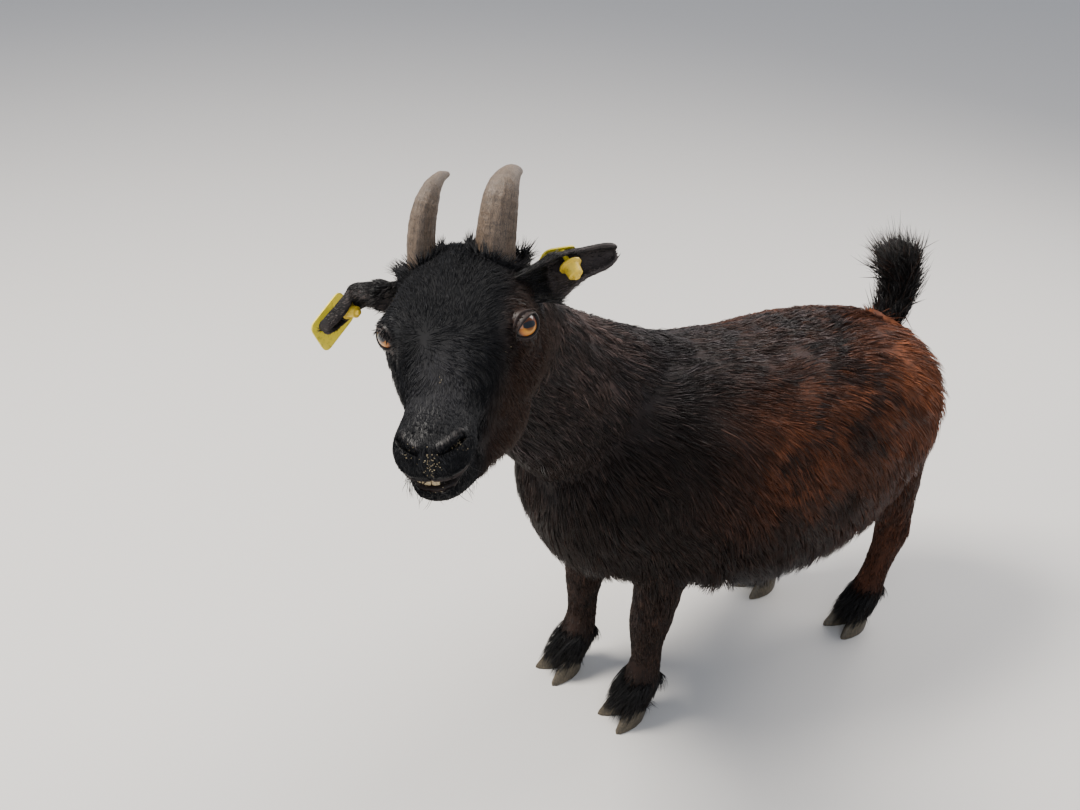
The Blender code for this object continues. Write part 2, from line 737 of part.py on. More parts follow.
def tag_parts(label, ear_obj):
    """A yellow ear tag: a plate on the back of the ear, whose pin goes through it into a button."""
    ring, round_arc, lean = TAG_PIN[label]
    frame, radius, _ = list(ear_sections(label))[ring]
    turn = Matrix.Rotation(-math.radians(round_arc), 4, "X")
    at = frame @ Matrix.Translation((0, 0, -radius)) @ turn @ Matrix.Translation((0, 0, radius))
    at = at @ Matrix.Rotation(math.radians(lean), 4, "Y")
    long, wide, *middle = TAG_PLATE[label]
    shape = bmesh.new()
    bmesh.ops.create_cube(shape, size=1)
    bmesh.ops.scale(shape, vec=(long, wide, PLATE_THICK), verts=shape.verts)
    corners = [e for e in shape.edges if abs((e.verts[0].co - e.verts[1].co).z) > PLATE_THICK / 2]
    bmesh.ops.bevel(
        shape, geom=corners, offset=PLATE_CORNER, segments=3, profile=0.5, affect="EDGES"
    )
    bmesh.ops.translate(shape, vec=(*middle, PLATE_CLEAR), verts=shape.verts)
    bmesh.ops.transform(shape, matrix=at, verts=shape.verts)
    plate = add_object(f"tag_{label}_plate", shape, "tag")
    pin = round_bar("pin", at, PIN_RADIUS, PIN_END, PLATE_CLEAR)
    hole = round_bar("hole", at, PIN_RADIUS + GAP, PIN_END - GAP, 0.010)
    cut(plate, pin, "UNION")
    cut(ear_obj, hole)
    profile = [(radius * FLANGE[label], height) for radius, height in BUTTON]
    button = turned_body(f"tag_{label}_button", at, profile)
    cut(button, hole)
    fit_into(ear_obj, grown(button, GAP))
    for obj in (pin, hole):
        bpy.data.objects.remove(obj)
    return plate, button


BAR_SIDES = 12


def ring_of(radius, height):
    turns = [2 * math.pi * i / BAR_SIDES for i in range(BAR_SIDES)]
    return [Vector((radius * math.cos(t), radius * math.sin(t), height)) for t in turns]


def turned_body(name, frame, profile):
    """A closed body turned about the frame's Z from (radius, height) pairs, both ends capped."""
    shape = bmesh.new()
    loft(shape, [ring_of(radius, height) for radius, height in profile])
    bmesh.ops.transform(shape, matrix=frame, verts=shape.verts)
    return add_object(name, shape, "tag")


def round_bar(name, frame, radius, low, high):
    return helper(turned_body(name, frame, [(radius, low), (radius, high)]))


# ---------------------------------------------------------------- the face


MOUTH_AT = (0.117, -0.0540)  # the slit's inner edge and height on the middle line, in head places
MOUTH_HALF, MOUTH_GAP, MOUTH_FRONT = 0.030, 0.0030, 0.150
MOUTH_SLICES = 9


def mouth(head):
    """Cuts the slightly open mouth into the head: a curved slit, wider in front, closed at its corners."""
    frame = head_frame()
    rings = []
    for i in range(MOUTH_SLICES):
        across = (2 * i / (MOUTH_SLICES - 1) - 1) * MOUTH_HALF
        share = (across / MOUTH_HALF) ** 2
        inner = MOUTH_AT[0] - 0.020 * share
        level = MOUTH_AT[1] + 0.004 * share
        gap = MOUTH_GAP * (1 - share) + 0.0004
        corners = ((inner, -0.4 * gap), (MOUTH_FRONT, -gap), (MOUTH_FRONT, gap), (inner, 0.4 * gap))
        rings.append([frame @ Vector((x, across, level + z)) for x, z in corners])
    shape = bmesh.new()
    loft(shape, rings)
    slit = helper(add_object("slit", shape, "coat"))
    cut(head, slit)
    bpy.data.objects.remove(slit)


TEETH = (-0.0092, -0.0031, 0.0031, 0.0092)  # across the jaw
TOOTH = (0.0058, 0.0042, 0.0075)  # wide, thick, tall


def teeth(head):
    """The lower incisors that show between the lips, grown from the jaw."""
    frame = head_frame()
    for across in TEETH:
        wide, thick, tall = TOOTH
        shape = bmesh.new()
        bmesh.ops.create_cube(shape, size=1)
        bmesh.ops.scale(shape, vec=(thick, wide, tall), verts=shape.verts)
        for vertex in shape.verts:
            if vertex.co.z > 0:
                vertex.co.x *= 0.6
        x = MOUTH_AT[0] + 0.0090 - 18 * across**2
        z = MOUTH_AT[1] - 0.0034
        bmesh.ops.transform(
            shape, matrix=frame @ Matrix.Translation((x, across, z)), verts=shape.verts
        )
        tooth = helper(add_object("tooth", shape, "coat"))
        cut(head, tooth, "UNION")
        bpy.data.objects.remove(tooth)


NOSTRIL_AT = (0.127, 0.0175, -0.0245)
NOSTRIL_ALONG = (-0.45, 0.85, 0.28)  # from the inner, lower end to the outer, upper one
NOSTRIL_OUT = (0.78, 0.30, 0.55)
NOSTRIL_SIZE = (0.0120, 0.0030, 0.0080)  # half length, half height, depth


def nostrils(head):
    """A slanting slit on each side of the nose."""
    frame = head_frame()
    for side in (1, -1):
        along = Vector((NOSTRIL_ALONG[0], side * NOSTRIL_ALONG[1], NOSTRIL_ALONG[2])).normalized()
        out = Vector((NOSTRIL_OUT[0], side * NOSTRIL_OUT[1], NOSTRIL_OUT[2]))
        out = (out - along * out.dot(along)).normalized()
        axes = Matrix((along, out.cross(along), out)).transposed().to_4x4()
        at = Vector((NOSTRIL_AT[0], side * NOSTRIL_AT[1], NOSTRIL_AT[2]))
        shape = bmesh.new()
        bmesh.ops.create_uvsphere(shape, u_segments=10, v_segments=6, radius=1)
        bmesh.ops.scale(shape, vec=NOSTRIL_SIZE, verts=shape.verts)
        bmesh.ops.transform(shape, matrix=frame @ Matrix.Translation(at) @ axes, verts=shape.verts)
        pit = helper(add_object("pit", shape, "coat"))
        cut(head, pit)
        bpy.data.objects.remove(pit)


# ---------------------------------------------------------------- putting it together


def fit_into(host, room):
    """Cuts room for a piece out of its neighbour."""
    cut(host, helper(room))
    bpy.data.objects.remove(room)


def main():
    clear_scene()
    made = part_flesh(whole_flesh())
    head = made["head"]
    mouth(head)
    teeth(head)
    nostrils(head)
    for label, side in (("left", 1), ("right", -1)):
        for room in (eye(side, GAP), horn(side, GAP), ear(label, GAP)):
            fit_into(head, room)
        ball, spike, leaf = eye(side), horn(side), ear(label)
        plate, button = tag_parts(label, leaf)
        for piece in (ball, spike, leaf, plate, button):
            made[piece.name] = piece
    made["tail"] = tail()
    fit_into(made["trunk"], grown(made["tail"], GAP))
    for name, rows in legs():
        dewclaws(made[f"leg_{name}_lower"], rows)
    for name, pair in hoofs():
        for piece in pair:
            made[piece.name] = piece
            fit_into(made[f"leg_{name}_lower"], grown(piece, GAP))
    for piece in made.values():
        piece.data.transform(Matrix.Translation(TO_ORIGIN))


main()
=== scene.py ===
"""Looks of the pygmy goat: one skin over the flesh, a coat of solid hair tufts, eyes, horns, claws and ear tags.

Metres, +Z up. The goat faces -X and its left side is -Y. Head places are X to the nose, Y to the goat's left and
Z out of the forehead, from the point between the eyes. Weights run from 0 to 1.
"""

import math

import bpy
import numpy as np
from mathutils import Matrix, Vector
from mathutils.bvhtree import BVHTree
from mathutils.kdtree import KDTree


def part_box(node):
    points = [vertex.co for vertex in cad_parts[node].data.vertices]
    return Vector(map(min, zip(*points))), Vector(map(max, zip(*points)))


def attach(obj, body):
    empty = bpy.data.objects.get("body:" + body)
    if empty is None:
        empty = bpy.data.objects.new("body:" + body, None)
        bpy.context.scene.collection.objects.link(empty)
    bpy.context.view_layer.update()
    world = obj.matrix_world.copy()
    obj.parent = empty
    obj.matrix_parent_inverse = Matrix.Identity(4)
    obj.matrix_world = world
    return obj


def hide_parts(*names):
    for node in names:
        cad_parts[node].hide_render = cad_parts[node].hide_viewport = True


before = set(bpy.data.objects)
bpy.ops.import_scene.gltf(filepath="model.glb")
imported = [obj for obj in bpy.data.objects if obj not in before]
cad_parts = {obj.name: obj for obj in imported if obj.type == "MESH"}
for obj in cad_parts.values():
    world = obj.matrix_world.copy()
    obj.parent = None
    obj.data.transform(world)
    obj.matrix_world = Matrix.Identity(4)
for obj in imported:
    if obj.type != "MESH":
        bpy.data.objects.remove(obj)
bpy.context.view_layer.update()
bpy.ops.object.select_all(action="DESELECT")
chance = np.random.default_rng(7)

# ---------------- small sums


def vec(*numbers):
    return np.array(numbers)


def unit(vectors):
    return vectors / np.maximum(np.linalg.norm(vectors, axis=-1, keepdims=True), 1e-9)


def step(low, high, x):
    """A smooth rise from 0 at low to 1 at high, or a fall where low is the larger."""
    t = np.clip((x - low) / (high - low), 0, 1)
    return t * t * (3 - 2 * t)


def bell(x, width):
    return np.exp(-((x / width) ** 2))


def rows(value, count):
    return np.repeat(value[None], count, 0)


def blend_to(color, other, share):
    share = np.clip(share, 0, 1)[:, None]
    return color * (1 - share) + other * share


def layered(color, *layers):
    """Lays colours over a first one, each by its own share."""
    for other, share in layers:
        color = blend_to(color, other, share)
    return color


def ripple(points, size, seed):
    """Smooth noise, about -1 to 1, that changes over a given size."""
    dice = np.random.default_rng(seed)
    total = np.zeros(len(points))
    for _ in range(7):
        way = unit(dice.normal(size=3)) * dice.uniform(0.6, 1.6) * 2 * math.pi / size / 2
        total += np.sin(points @ way + dice.uniform(0, 6.28))
    return total / 2.6


def along_line(line, share):
    steps = np.linspace(0, 1, len(line))
    return np.stack([np.interp(share, steps, line[:, k]) for k in range(3)], 1)


def axes(along, out):
    """Three directions at right angles: along, upwards and outwards."""
    along = unit(along)
    out = unit(out - along * (out @ along))
    over = np.cross(along, out)
    return along, over if over[2] > 0 else -over, out


# ---------------- where things are

MIDDLE_Y = 0.0575  # the body's middle plane
HEAD_AT = np.array(Vector((-0.32375, -0.0945, 0.635)))
HEAD_TURN = np.array(
    Matrix.Rotation(math.pi + math.radians(52), 3, "Z")
    @ Matrix.Rotation(math.radians(13), 3, "Y")
    @ Matrix.Rotation(math.radians(9), 3, "X")
)
NECK_PLANE = (vec(-0.22675, -0.0025, 0.538), vec(-0.609, -0.480, 0.632))
NECK_ROOT = (-0.105, 0.05, 0.425)
NECK_WAY = vec(0.72, 0.36, -0.60)
LEGS = [f"leg_{end}_{side}" for end in ("fore", "hind") for side in ("left", "right")]
FLESH = ["head", "neck", "trunk"] + [f"{leg}_{part}" for leg in LEGS for part in ("upper", "lower")]
ELBOWS = (vec(0.034, -0.040, 0.208), vec(0.026, 0.155, 0.208))
KNEE = vec(-0.056, 0.002, 0.148)
TAIL_LINE = np.array(((0.345, 0.375), (0.368, 0.402), (0.377, 0.430), (0.374, 0.450)))  # x and z
TAIL_LINE = np.insert(TAIL_LINE, 1, MIDDLE_Y, axis=1)
WHORL = (0.036, -0.004)  # where the hair of the forehead parts, in x and y of the head

EYE_RADIUS = 0.0130
EYE_AT = {"left": vec(0.004, 0.0468, -0.0235), "right": vec(0.004, -0.0456, -0.0260)}
GAZE = {"left": vec(0.60, 0.68, 0.38), "right": vec(0.68, -0.68, 0.24)}
EYE_AXES = {side: axes(gaze, vec(0.79, -0.565 * np.sign(gaze[1]), -0.24)) for side, gaze in GAZE.items()}
LID_HALF, LID_TOP, LID_LOW = 48, {"left": 18, "right": 11}, 29  # degrees off the gaze
RIM_REACH = 0.024  # the bare rim reaches this far from an eye's centre
TEAR_LINE = (vec(0.0195, -0.0255), vec(0.033, -0.0375))  # x and z
MOUTH_HALF = 0.030
MOUTH_LEVEL = -0.0508
LIP_GAP = 0.0036
# Each nostril's place, then the ways along its slit, over it and outwards.
NOSTRILS = [
    (vec(0.127, 0.0175 * sign, -0.0245), *axes(vec(-0.45, 0.85 * sign, 0.28), vec(0.78, 0.30 * sign, 0.55)))
    for sign in (1, -1)
]
# Each ear's root, then the ways along it and out of its back.
EARS = {
    "left": (vec(-0.046, 0.046, -0.0218), unit(vec(-0.72, 0.65, -0.23)), unit(vec(-0.57, -0.76, -0.18))),
    "right": (vec(-0.046, -0.047, -0.024), unit(vec(0.01, -0.92, -0.39)), unit(vec(-0.87, -0.10, 0.47))),
}


def head_place(points):
    """World points in head places."""
    return (points - HEAD_AT) @ HEAD_TURN


def world_place(at):
    """Head places in the world."""
    return at @ HEAD_TURN.T + HEAD_AT


# ---------------- materials


def new_material(name):
    mat = bpy.data.materials.new(name)
    mat.use_nodes = True
    return mat, mat.node_tree, mat.node_tree.nodes["Principled BSDF"]


def feed(made, socket, value):
    """Gives a node's socket the result of another node, or a constant."""
    socket = made.inputs[socket]
    if hasattr(value, "links"):
        made.id_data.links.new(value, socket)
    else:
        socket.default_value = (*value, 1) if socket.type == "RGBA" else value


def finish(shader, color, rough, shine=None):
    feed(shader, "Base Color", color)
    feed(shader, "Roughness", rough)
    if shine is not None:
        feed(shader, "Specular IOR Level", shine)


def node(tree, kind, **inputs):
    made = tree.nodes.new(kind)
    for key, value in inputs.items():
        if key in made.inputs:
            made.inputs[key].default_value = value
        else:
            setattr(made, key, value)
    return made


def noise(tree, vector, scale, detail=3.0, rough=0.55):
    made = node(tree, "ShaderNodeTexNoise", Scale=scale, Detail=detail, Roughness=rough)
    feed(made, "Vector", vector)
    return made.outputs["Fac"]


def ramp(tree, value, stops):
    """Colours by a value. A stop's single number is a grey."""
    made = tree.nodes.new("ShaderNodeValToRGB")
    elements = made.color_ramp.elements
    while len(elements) < len(stops):
        elements.new(0.5)
    for element, (place, color) in zip(elements, stops):
        element.position = place
        element.color = (*color, 1) if hasattr(color, "__len__") else (color, color, color, 1)
    feed(made, "Fac", value)
    return made.outputs["Color"]


def mix(tree, fac, a, b, kind="MIX"):
    made = tree.nodes.new("ShaderNodeMix")
    made.data_type, made.blend_type = "RGBA", kind
    for socket, value in ((0, fac), (6, a), (7, b)):
        feed(made, socket, value)
    return made.outputs[2]


def sums(tree, operation, *values):
    made = node(tree, "ShaderNodeMath", operation=operation)
    for socket, value in enumerate(values):
        feed(made, socket, value)
    return made.outputs[0]


def bump(tree, shader, height, strength, distance):
    made = node(tree, "ShaderNodeBump", Strength=strength, Distance=distance)
    feed(made, "Height", height)
    feed(shader, "Normal", made.outputs["Normal"])


def attribute(tree, name, output="Color"):
    return node(tree, "ShaderNodeAttribute", attribute_name=name).outputs[output]


def scaled(tree, vector, *scale):
    made = node(tree, "ShaderNodeMapping", Scale=scale)
    feed(made, "Vector", vector)
    return made.outputs["Vector"]


def object_place(tree):
    return tree.nodes.new("ShaderNodeTexCoord").outputs["Object"]


def hair_material(name, rough, shine):
    """Hair: its colour from the tuft, lighter to the tip, with fine strands along it."""
    mat, tree, shader = new_material(name)
    strands = noise(tree, attribute(tree, "lay", "Vector"), 1.0, 2.0, 0.6)
    streak = ramp(tree, strands, ((0.30, 0.45), (0.70, 1.45)))
    finish(shader, mix(tree, 1.0, attribute(tree, "tone"), streak, "MULTIPLY"), rough, shine)
    bump(tree, shader, strands, 0.7, 0.0006)
    return mat


def skin_material():
    """The hide: darkened under the hair by painted shade, bare and wrinkled round the eyes, nose and lips."""
    mat, tree, shader = new_material("goat hide")
    place = object_place(tree)
    bare = attribute(tree, "bare", "Fac")
    grain = noise(tree, place, 900, 4.0, 0.65)
    creases = node(tree, "ShaderNodeTexVoronoi", Scale=520.0, feature="DISTANCE_TO_EDGE")
    feed(creases, "Vector", place)
    mottle = ramp(tree, noise(tree, place, 140, 5.0), ((0.35, 0.7), (0.7, (1.35, 1.3, 1.3))))
    color = mix(tree, 1.0, attribute(tree, "tone"), mottle, "MULTIPLY")
    finish(shader, color, ramp(tree, bare, ((0.0, 0.85), (1.0, 0.50))), 0.22)
    bump(tree, shader, mix(tree, bare, grain, creases.outputs["Distance"]), 0.30, 0.0005)
    return mat


# ---------------- meshes


def paint(obj, mat):
    obj.data.materials.clear()
    obj.data.materials.append(mat)


def in_scene(name, data):
    obj = bpy.data.objects.new(name, data)
    bpy.context.scene.collection.objects.link(obj)
    return obj


def only(*objs):
    """Selects some objects alone, the first of them as the active one."""
    bpy.ops.object.select_all(action="DESELECT")
    for obj in objs:
        obj.select_set(True)
    bpy.context.view_layer.objects.active = objs[0]


def joined(*objs):
    only(*objs)
    if len(objs) > 1:
        bpy.ops.object.join()
    return objs[0]


def in_edit(obj, action, **values):
    """One edit step on the whole of a mesh."""
    only(obj)
    bpy.ops.object.mode_set(mode="EDIT")
    bpy.ops.mesh.select_all(action="SELECT")
    action(**values)
    bpy.ops.object.mode_set(mode="OBJECT")


def unfold(obj):
    in_edit(obj, bpy.ops.uv.smart_project, angle_limit=math.radians(66), island_margin=0.001)
    bpy.ops.object.shade_smooth()
    obj.data.uv_layers[0].name = "OFBake"


def applied(obj, kind, **values):
    only(obj)
    modifier = obj.modifiers.new(kind.lower(), kind)
    for key, value in values.items():
        setattr(modifier, key, value)
    bpy.ops.object.modifier_apply(modifier=modifier.name)


def remeshed(obj, size):
    applied(obj, "REMESH", mode="VOXEL", voxel_size=size, use_smooth_shade=True)


def smoothed(obj, times, group=""):
    applied(obj, "SMOOTH", factor=0.5, iterations=times, vertex_group=group)


def thinned(obj, ratio, group=""):
    applied(obj, "DECIMATE", ratio=ratio, vertex_group=group, use_collapse_triangulate=True)


def bevelled(obj, width, segments, angle):
    applied(obj, "BEVEL", width=width, segments=segments, limit_method="ANGLE", angle_limit=math.radians(angle))


def copied(nodes, name):
    """One welded mesh from copies of CAD nodes."""
    copies = []
    for label in nodes:
        twin = in_scene(label + "_copy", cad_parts[label].data.copy())
        in_edit(twin, bpy.ops.mesh.remove_doubles, threshold=0.00001)
        copies.append(twin)
    made = joined(*copies)
    made.name = made.data.name = name
    return made


def read(items, key, width=3, kind=np.float32):
    flat = np.empty(len(items) * width, kind)
    items.foreach_get(key, flat)
    return flat.reshape(-1, width)


def points_of(obj):
    return read(obj.data.vertices, "co").astype(float)


def normals_of(obj):
    return read(obj.data.vertex_normals, "vector").astype(float)


def triangles_of(obj):
    obj.data.calc_loop_triangles()
    return read(obj.data.loop_triangles, "vertices", kind=np.int32)


def set_points(obj, points):
    obj.data.vertices.foreach_set("co", points.astype(np.float32).ravel())
    obj.data.update()


def put_color(obj, name, colors):
    made = obj.data.color_attributes.new(name, "FLOAT_COLOR", "POINT")
    rgba = np.ones((len(colors), 4), np.float32)
    rgba[:, :3] = colors
    made.data.foreach_set("color", rgba.ravel())


def put(obj, name, values):
    """Keeps a number or a vector for each point of a mesh."""
    kind, key = ("FLOAT", "value") if values.ndim == 1 else ("FLOAT_VECTOR", "vector")
    made = obj.data.attributes.new(name, kind, "POINT")
    made.data.foreach_set(key, values.astype(np.float32).ravel())


# ---------------- regions of the body


def nearness(label, points, reach):
    """1 on a CAD node's box and 0 past a reach from it."""
    low, high = (np.array(corner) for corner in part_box(label))
    away = np.maximum(np.maximum(low - points, points - high), 0)
    return 1 - step(0, reach, np.linalg.norm(away, axis=1))


def regions(points):
    """How much each point belongs to the head, neck, legs and so on, by name."""
    at = head_place(points)
    from_neck = (points - NECK_PLANE[0]) @ NECK_PLANE[1]
    near_head = 1 - step(0.24, 0.30, np.linalg.norm(at - (0.0, 0.0, -0.04), axis=1))
    head = step(-0.012, 0.022, from_neck) * near_head
    leg = np.zeros(len(points))
    for label in LEGS:
        leg = np.maximum(leg, nearness(label + "_upper", points, 0.012))
    upper = leg * (1 - step(0.185, 0.262, points[:, 2]))
    lower = 1 - step(0.135, 0.165, points[:, 2])
    leg = np.maximum(upper, lower)
    neck = step(-0.02, 0.05, (points - NECK_ROOT) @ (-NECK_WAY)) * (1 - head)
    return {
        "at": at,
        "head": head,
        "neck": neck * (1 - leg),
        "leg": leg * (1 - head),
        "lower": lower * (1 - head),
        "foot": 1 - step(0.045, 0.075, points[:, 2]),
    }


def mouth_line(at):
    """The height of the line between the lips."""
    return MOUTH_LEVEL + 0.0045 * (at[:, 1] / MOUTH_HALF) ** 2


def face_parts(at):
    """Weights on the head: muzzle, crown and cheek."""
    x, y, z = at.T
    muzzle = step(0.070, 0.105, x)
    crown = step(-0.012, -0.050, x) * step(-0.075, -0.020, z)
    cheek = step(0.030, 0.050, np.abs(y) + np.maximum(-z - 0.03, 0) * 0.5) * (1 - muzzle) * (1 - crown)
    return muzzle, crown, cheek


def near_eye(at, reach=RIM_REACH):
    """1 on the bare rims of the eyes, 0 past a reach."""
    found = np.zeros(len(at))
    for centre in EYE_AT.values():
        away = np.linalg.norm(at - centre, axis=1)
        found = np.maximum(found, 1 - step(reach * 0.60, reach * 1.2, away))
    return found


def coat_depth(part):
    """How far the skin lies under the tips of the coat."""
    muzzle, crown, cheek = face_parts(part["at"])
    face = 0.0018 + 0.0042 * crown + 0.0022 * cheek - 0.0012 * muzzle
    leg = 0.0052 - 0.0030 * part["lower"]
    depth = 0.0095 * (1 - part["leg"]) + leg * part["leg"]
    depth = depth * (1 - part["head"]) + face * part["head"]
    return depth * (1 - near_eye(part["at"]))


# ---------------- skin

SKIN_GRAIN, EAR_GRAIN = 0.0024, 0.0011  # how fine the flesh is remade as one mesh
SKIN_SWELL = 0.0006  # closes the seams between the solids
SKIN_KEPT, EAR_KEPT = 0.155, 0.4  # the shares of the faces that stay
FACE_WEIGHT = 0.55  # the face loses fewer of its faces than the body
DETAIL_REACH = (0.002, -0.002, -0.0065)  # how wide each finer step goes about the eyes, nostrils and mouth
DOCK = ((0.018, 0.006, 0.017), (0.041, 0.038, 0.014), (0.050, 0.068, 0.011), (0.048, 0.092, 0.006))


def dock():
    """The tail's own flesh: x and z from the tail's low corner and the radius there, inside its fan of hair."""
    low = np.array(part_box("tail")[0])
    line = np.array(DOCK)
    bpy.ops.mesh.primitive_uv_sphere_add(segments=16, ring_count=9, radius=0.5)
    made = bpy.context.object
    points = points_of(made)
    share = (points[:, 2] + 0.5) * (len(line) - 1)
    line[:, :2] += low[[0, 2]]
    x, z, radius = (np.interp(share, range(len(line)), row) for row in line.T)
    place = np.stack([x, np.full(len(x), MIDDLE_Y), z], 1)
    place[:, :2] += points[:, :2] * (radius * 2)[:, None]
    set_points(made, place)
    return made


def eye_angles(at, side):
    """Angles off the gaze towards the nose and upwards, and the distance from the eye's centre and along the gaze."""
    gaze, up, nose = EYE_AXES[side]
    away = at - EYE_AT[side]
    front = away @ gaze
    return np.arctan2(away @ nose, front), np.arctan2(away @ up, front), np.linalg.norm(away, axis=1), front


def lid_gap(a, b, side):
    """How far an angle lies outside the almond between the lids, in radians."""
    half, top, low = (math.radians(angle) for angle in (LID_HALF, LID_TOP[side], LID_LOW))
    share = np.clip(np.abs(a) / half, 0, 1)
    edge = np.where(b > 0, top, low) * np.sqrt(1 - share**2.2)
    outside = np.hypot(np.maximum(np.abs(a) - half, 0), np.maximum(np.abs(b) - edge, 0))
    inside = np.minimum(edge - np.abs(b), half - np.abs(a)) * (np.abs(b) < edge)
    return outside - np.minimum(inside, 0.3).clip(0)


def shape_lids(at):
    """Draws the skin onto the eyes as lids with a fold, opens them, and cuts the tear grooves."""
    for side, centre in EYE_AT.items():
        a, b, far, front = eye_angles(at, side)
        gap = lid_gap(a, b, side)
        near = (front > -0.002) & (far < 0.024)
        lid = EYE_RADIUS + 0.0011 + 0.0007 * bell(gap - 0.13, 0.09)
        lid -= 0.0007 * bell(gap - 0.36, 0.06)
        lid += 0.0006 * bell(gap - 0.50, 0.08)
        lid = lid - step(0.06, -0.03, gap) * 0.0042
        hold = (1 - step(EYE_RADIUS + 0.0035, EYE_RADIUS + 0.0085, far)) * (1 - step(0.62, 0.95, gap))
        hold = np.where(near, hold, 0)
        far_new = far + (lid - far) * hold
        at = centre + (at - centre) * (far_new / np.maximum(far, 1e-6))[:, None]
        sign = np.sign(centre[1])
        start, end = TEAR_LINE
        along = end - start
        share = np.clip(((at[:, [0, 2]] - start) @ along) / (along @ along), 0, 1)
        off = np.linalg.norm(at[:, [0, 2]] - start - share[:, None] * along, axis=1)
        at[:, 1] -= sign * 0.0020 * (bell(off, 0.0018) * (at[:, 1] * sign > 0.02) * (1 - 0.6 * share))
    return at


def shape_muzzle(at, normals):
    """Cuts the nostrils with their rims, the groove between them and the parted mouth with its lips."""
    x, y, z = at.T
    for spot, along, over, out in NOSTRILS:
        away = at - spot
        u, v, w = away @ along, away @ over, away @ out
        share = u / 0.0112
        half = 0.0004 + 0.0008 * step(-0.6, 0.9, share)
        bend = 0.0016 * share**2
        length = np.abs(share)
        slit = step(1.0, 0.72, length) * step(half + 0.0009, half * 0.7, np.abs(v - bend)) * (np.abs(w) < 0.010)
        rim = bell(v - bend - 0.0046, 0.0022) * step(1.35, 0.5, length) * (np.abs(w) < 0.012)
        sill = bell(v - bend + 0.0042, 0.0018) * step(1.1, 0.3, length) * (np.abs(w) < 0.012)
        at = at - out * (0.0075 * slit - 0.0013 * rim - 0.0006 * sill)[:, None]
    groove = bell(y, 0.0011) * step(0.112, 0.124, x) * step(-0.049, -0.044, z) * step(-0.020, -0.028, z)
    at[:, 0] -= 0.0016 * groove
    level = mouth_line(at)
    share = np.clip(np.abs(y) / (MOUTH_HALF + 0.001), 0, 1)
    half = LIP_GAP * (1 - share**2) + 0.0003
    half += 0.0006 * bell(y + 0.012, 0.008)
    jut = step(0.088, 0.112, x) * bell(z - level + 0.0085, 0.0062) * step(0.034, 0.018, np.abs(y))
    at[:, 0] += 0.0048 * jut
    band = step(half + 0.0008, half - 0.0001, np.abs(z - level)) * step(0.066, 0.078, x) * (np.abs(y) < 0.034)
    lip = bell(z - level - half - 0.0026, 0.0016) * step(0.08, 0.10, x)
    low = bell(z - level + half + 0.0028, 0.0018) * step(0.08, 0.10, x)
    inward = -normals
    inward[:, 2] *= 0.25
    return at + unit(inward) * (band * (0.0095 - 0.0055 * share) + 0.0010 * lip - 0.0006 * low)[:, None]


def refine(obj, chosen):
    """Splits the faces whose middles are chosen."""
    only(obj)
    bpy.ops.object.mode_set(mode="EDIT")
    bpy.ops.mesh.select_mode(type="FACE")
    bpy.ops.object.mode_set(mode="OBJECT")
    for items in (obj.data.vertices, obj.data.edges):
        items.foreach_set("select", np.zeros(len(items), bool))
    obj.data.polygons.foreach_set("select", chosen)
    bpy.ops.object.mode_set(mode="EDIT")
    bpy.ops.mesh.subdivide(number_cuts=1, quadcorner="INNERVERT")
    bpy.ops.object.mode_set(mode="OBJECT")
    in_edit(obj, bpy.ops.mesh.quads_convert_to_tris)


def near_detail(at, wide):
    """Faces close to the eyes, nostrils and mouth."""
    found = np.zeros(len(at), bool)
    for centre in EYE_AT.values():
        found |= np.linalg.norm(at - centre, axis=1) < 0.020 + wide
    for spot, *_ in NOSTRILS:
        found |= np.linalg.norm(at - spot, axis=1) < 0.016 + wide
    return found | ((at[:, 0] > 0.072 - wide) & (np.abs(at[:, 2] - mouth_line(at)) < 0.0090 + wide))


def make_skin():
    """One mesh of the flesh, thinned out where it is plain, drawn in under the coat and shaped at the face."""
    skin = copied(FLESH + ["eye_left", "eye_right"], "skin")
    set_points(skin, points_of(skin) + normals_of(skin) * SKIN_SWELL)
    joined(skin, dock())
    remeshed(skin, SKIN_GRAIN)
    smoothed(skin, 6)
    part = regions(points_of(skin))
    near = step(0.3, 0.9, part["head"]) * step(-0.09, -0.03, part["at"][:, 0])
    group = skin.vertex_groups.new(name="body")
    for chosen, weight in ((near >= 0.5, FACE_WEIGHT), (near < 0.5, 1.0)):
        group.add(np.flatnonzero(chosen).tolist(), weight, "REPLACE")
    thinned(skin, SKIN_KEPT, "body")
    skin.vertex_groups.clear()
    smoothed(skin, 3)
    at = head_place(points_of(skin))
    orbit = skin.vertex_groups.new(name="orbit")
    for side in EYE_AT:
        a, b, far, front = eye_angles(at, side)
        round_eye = (far < 0.029) & (front > -0.020) & ((lid_gap(a, b, side) > 0.22) | (front < 0))
        orbit.add(np.flatnonzero(round_eye).tolist(), 1.0, "REPLACE")
    smoothed(skin, 40, "orbit")
    skin.vertex_groups.clear()
    for wide in DETAIL_REACH:
        refine(skin, near_detail(head_place(read(skin.data.polygons, "center").astype(float)), wide))
    points = points_of(skin)
    part = regions(points)
    points -= normals_of(skin) * coat_depth(part)[:, None]
    set_points(skin, points)
    at = head_place(points)
    normals = normals_of(skin) @ HEAD_TURN
    on_head = part["head"] > 0.5
    at[on_head] = shape_lids(at[on_head])
    at[on_head] = shape_muzzle(at[on_head], normals[on_head])
    points[on_head] = world_place(at[on_head])
    set_points(skin, points)
    return skin


skin = make_skin()

# ---------------- colours of hide and hair

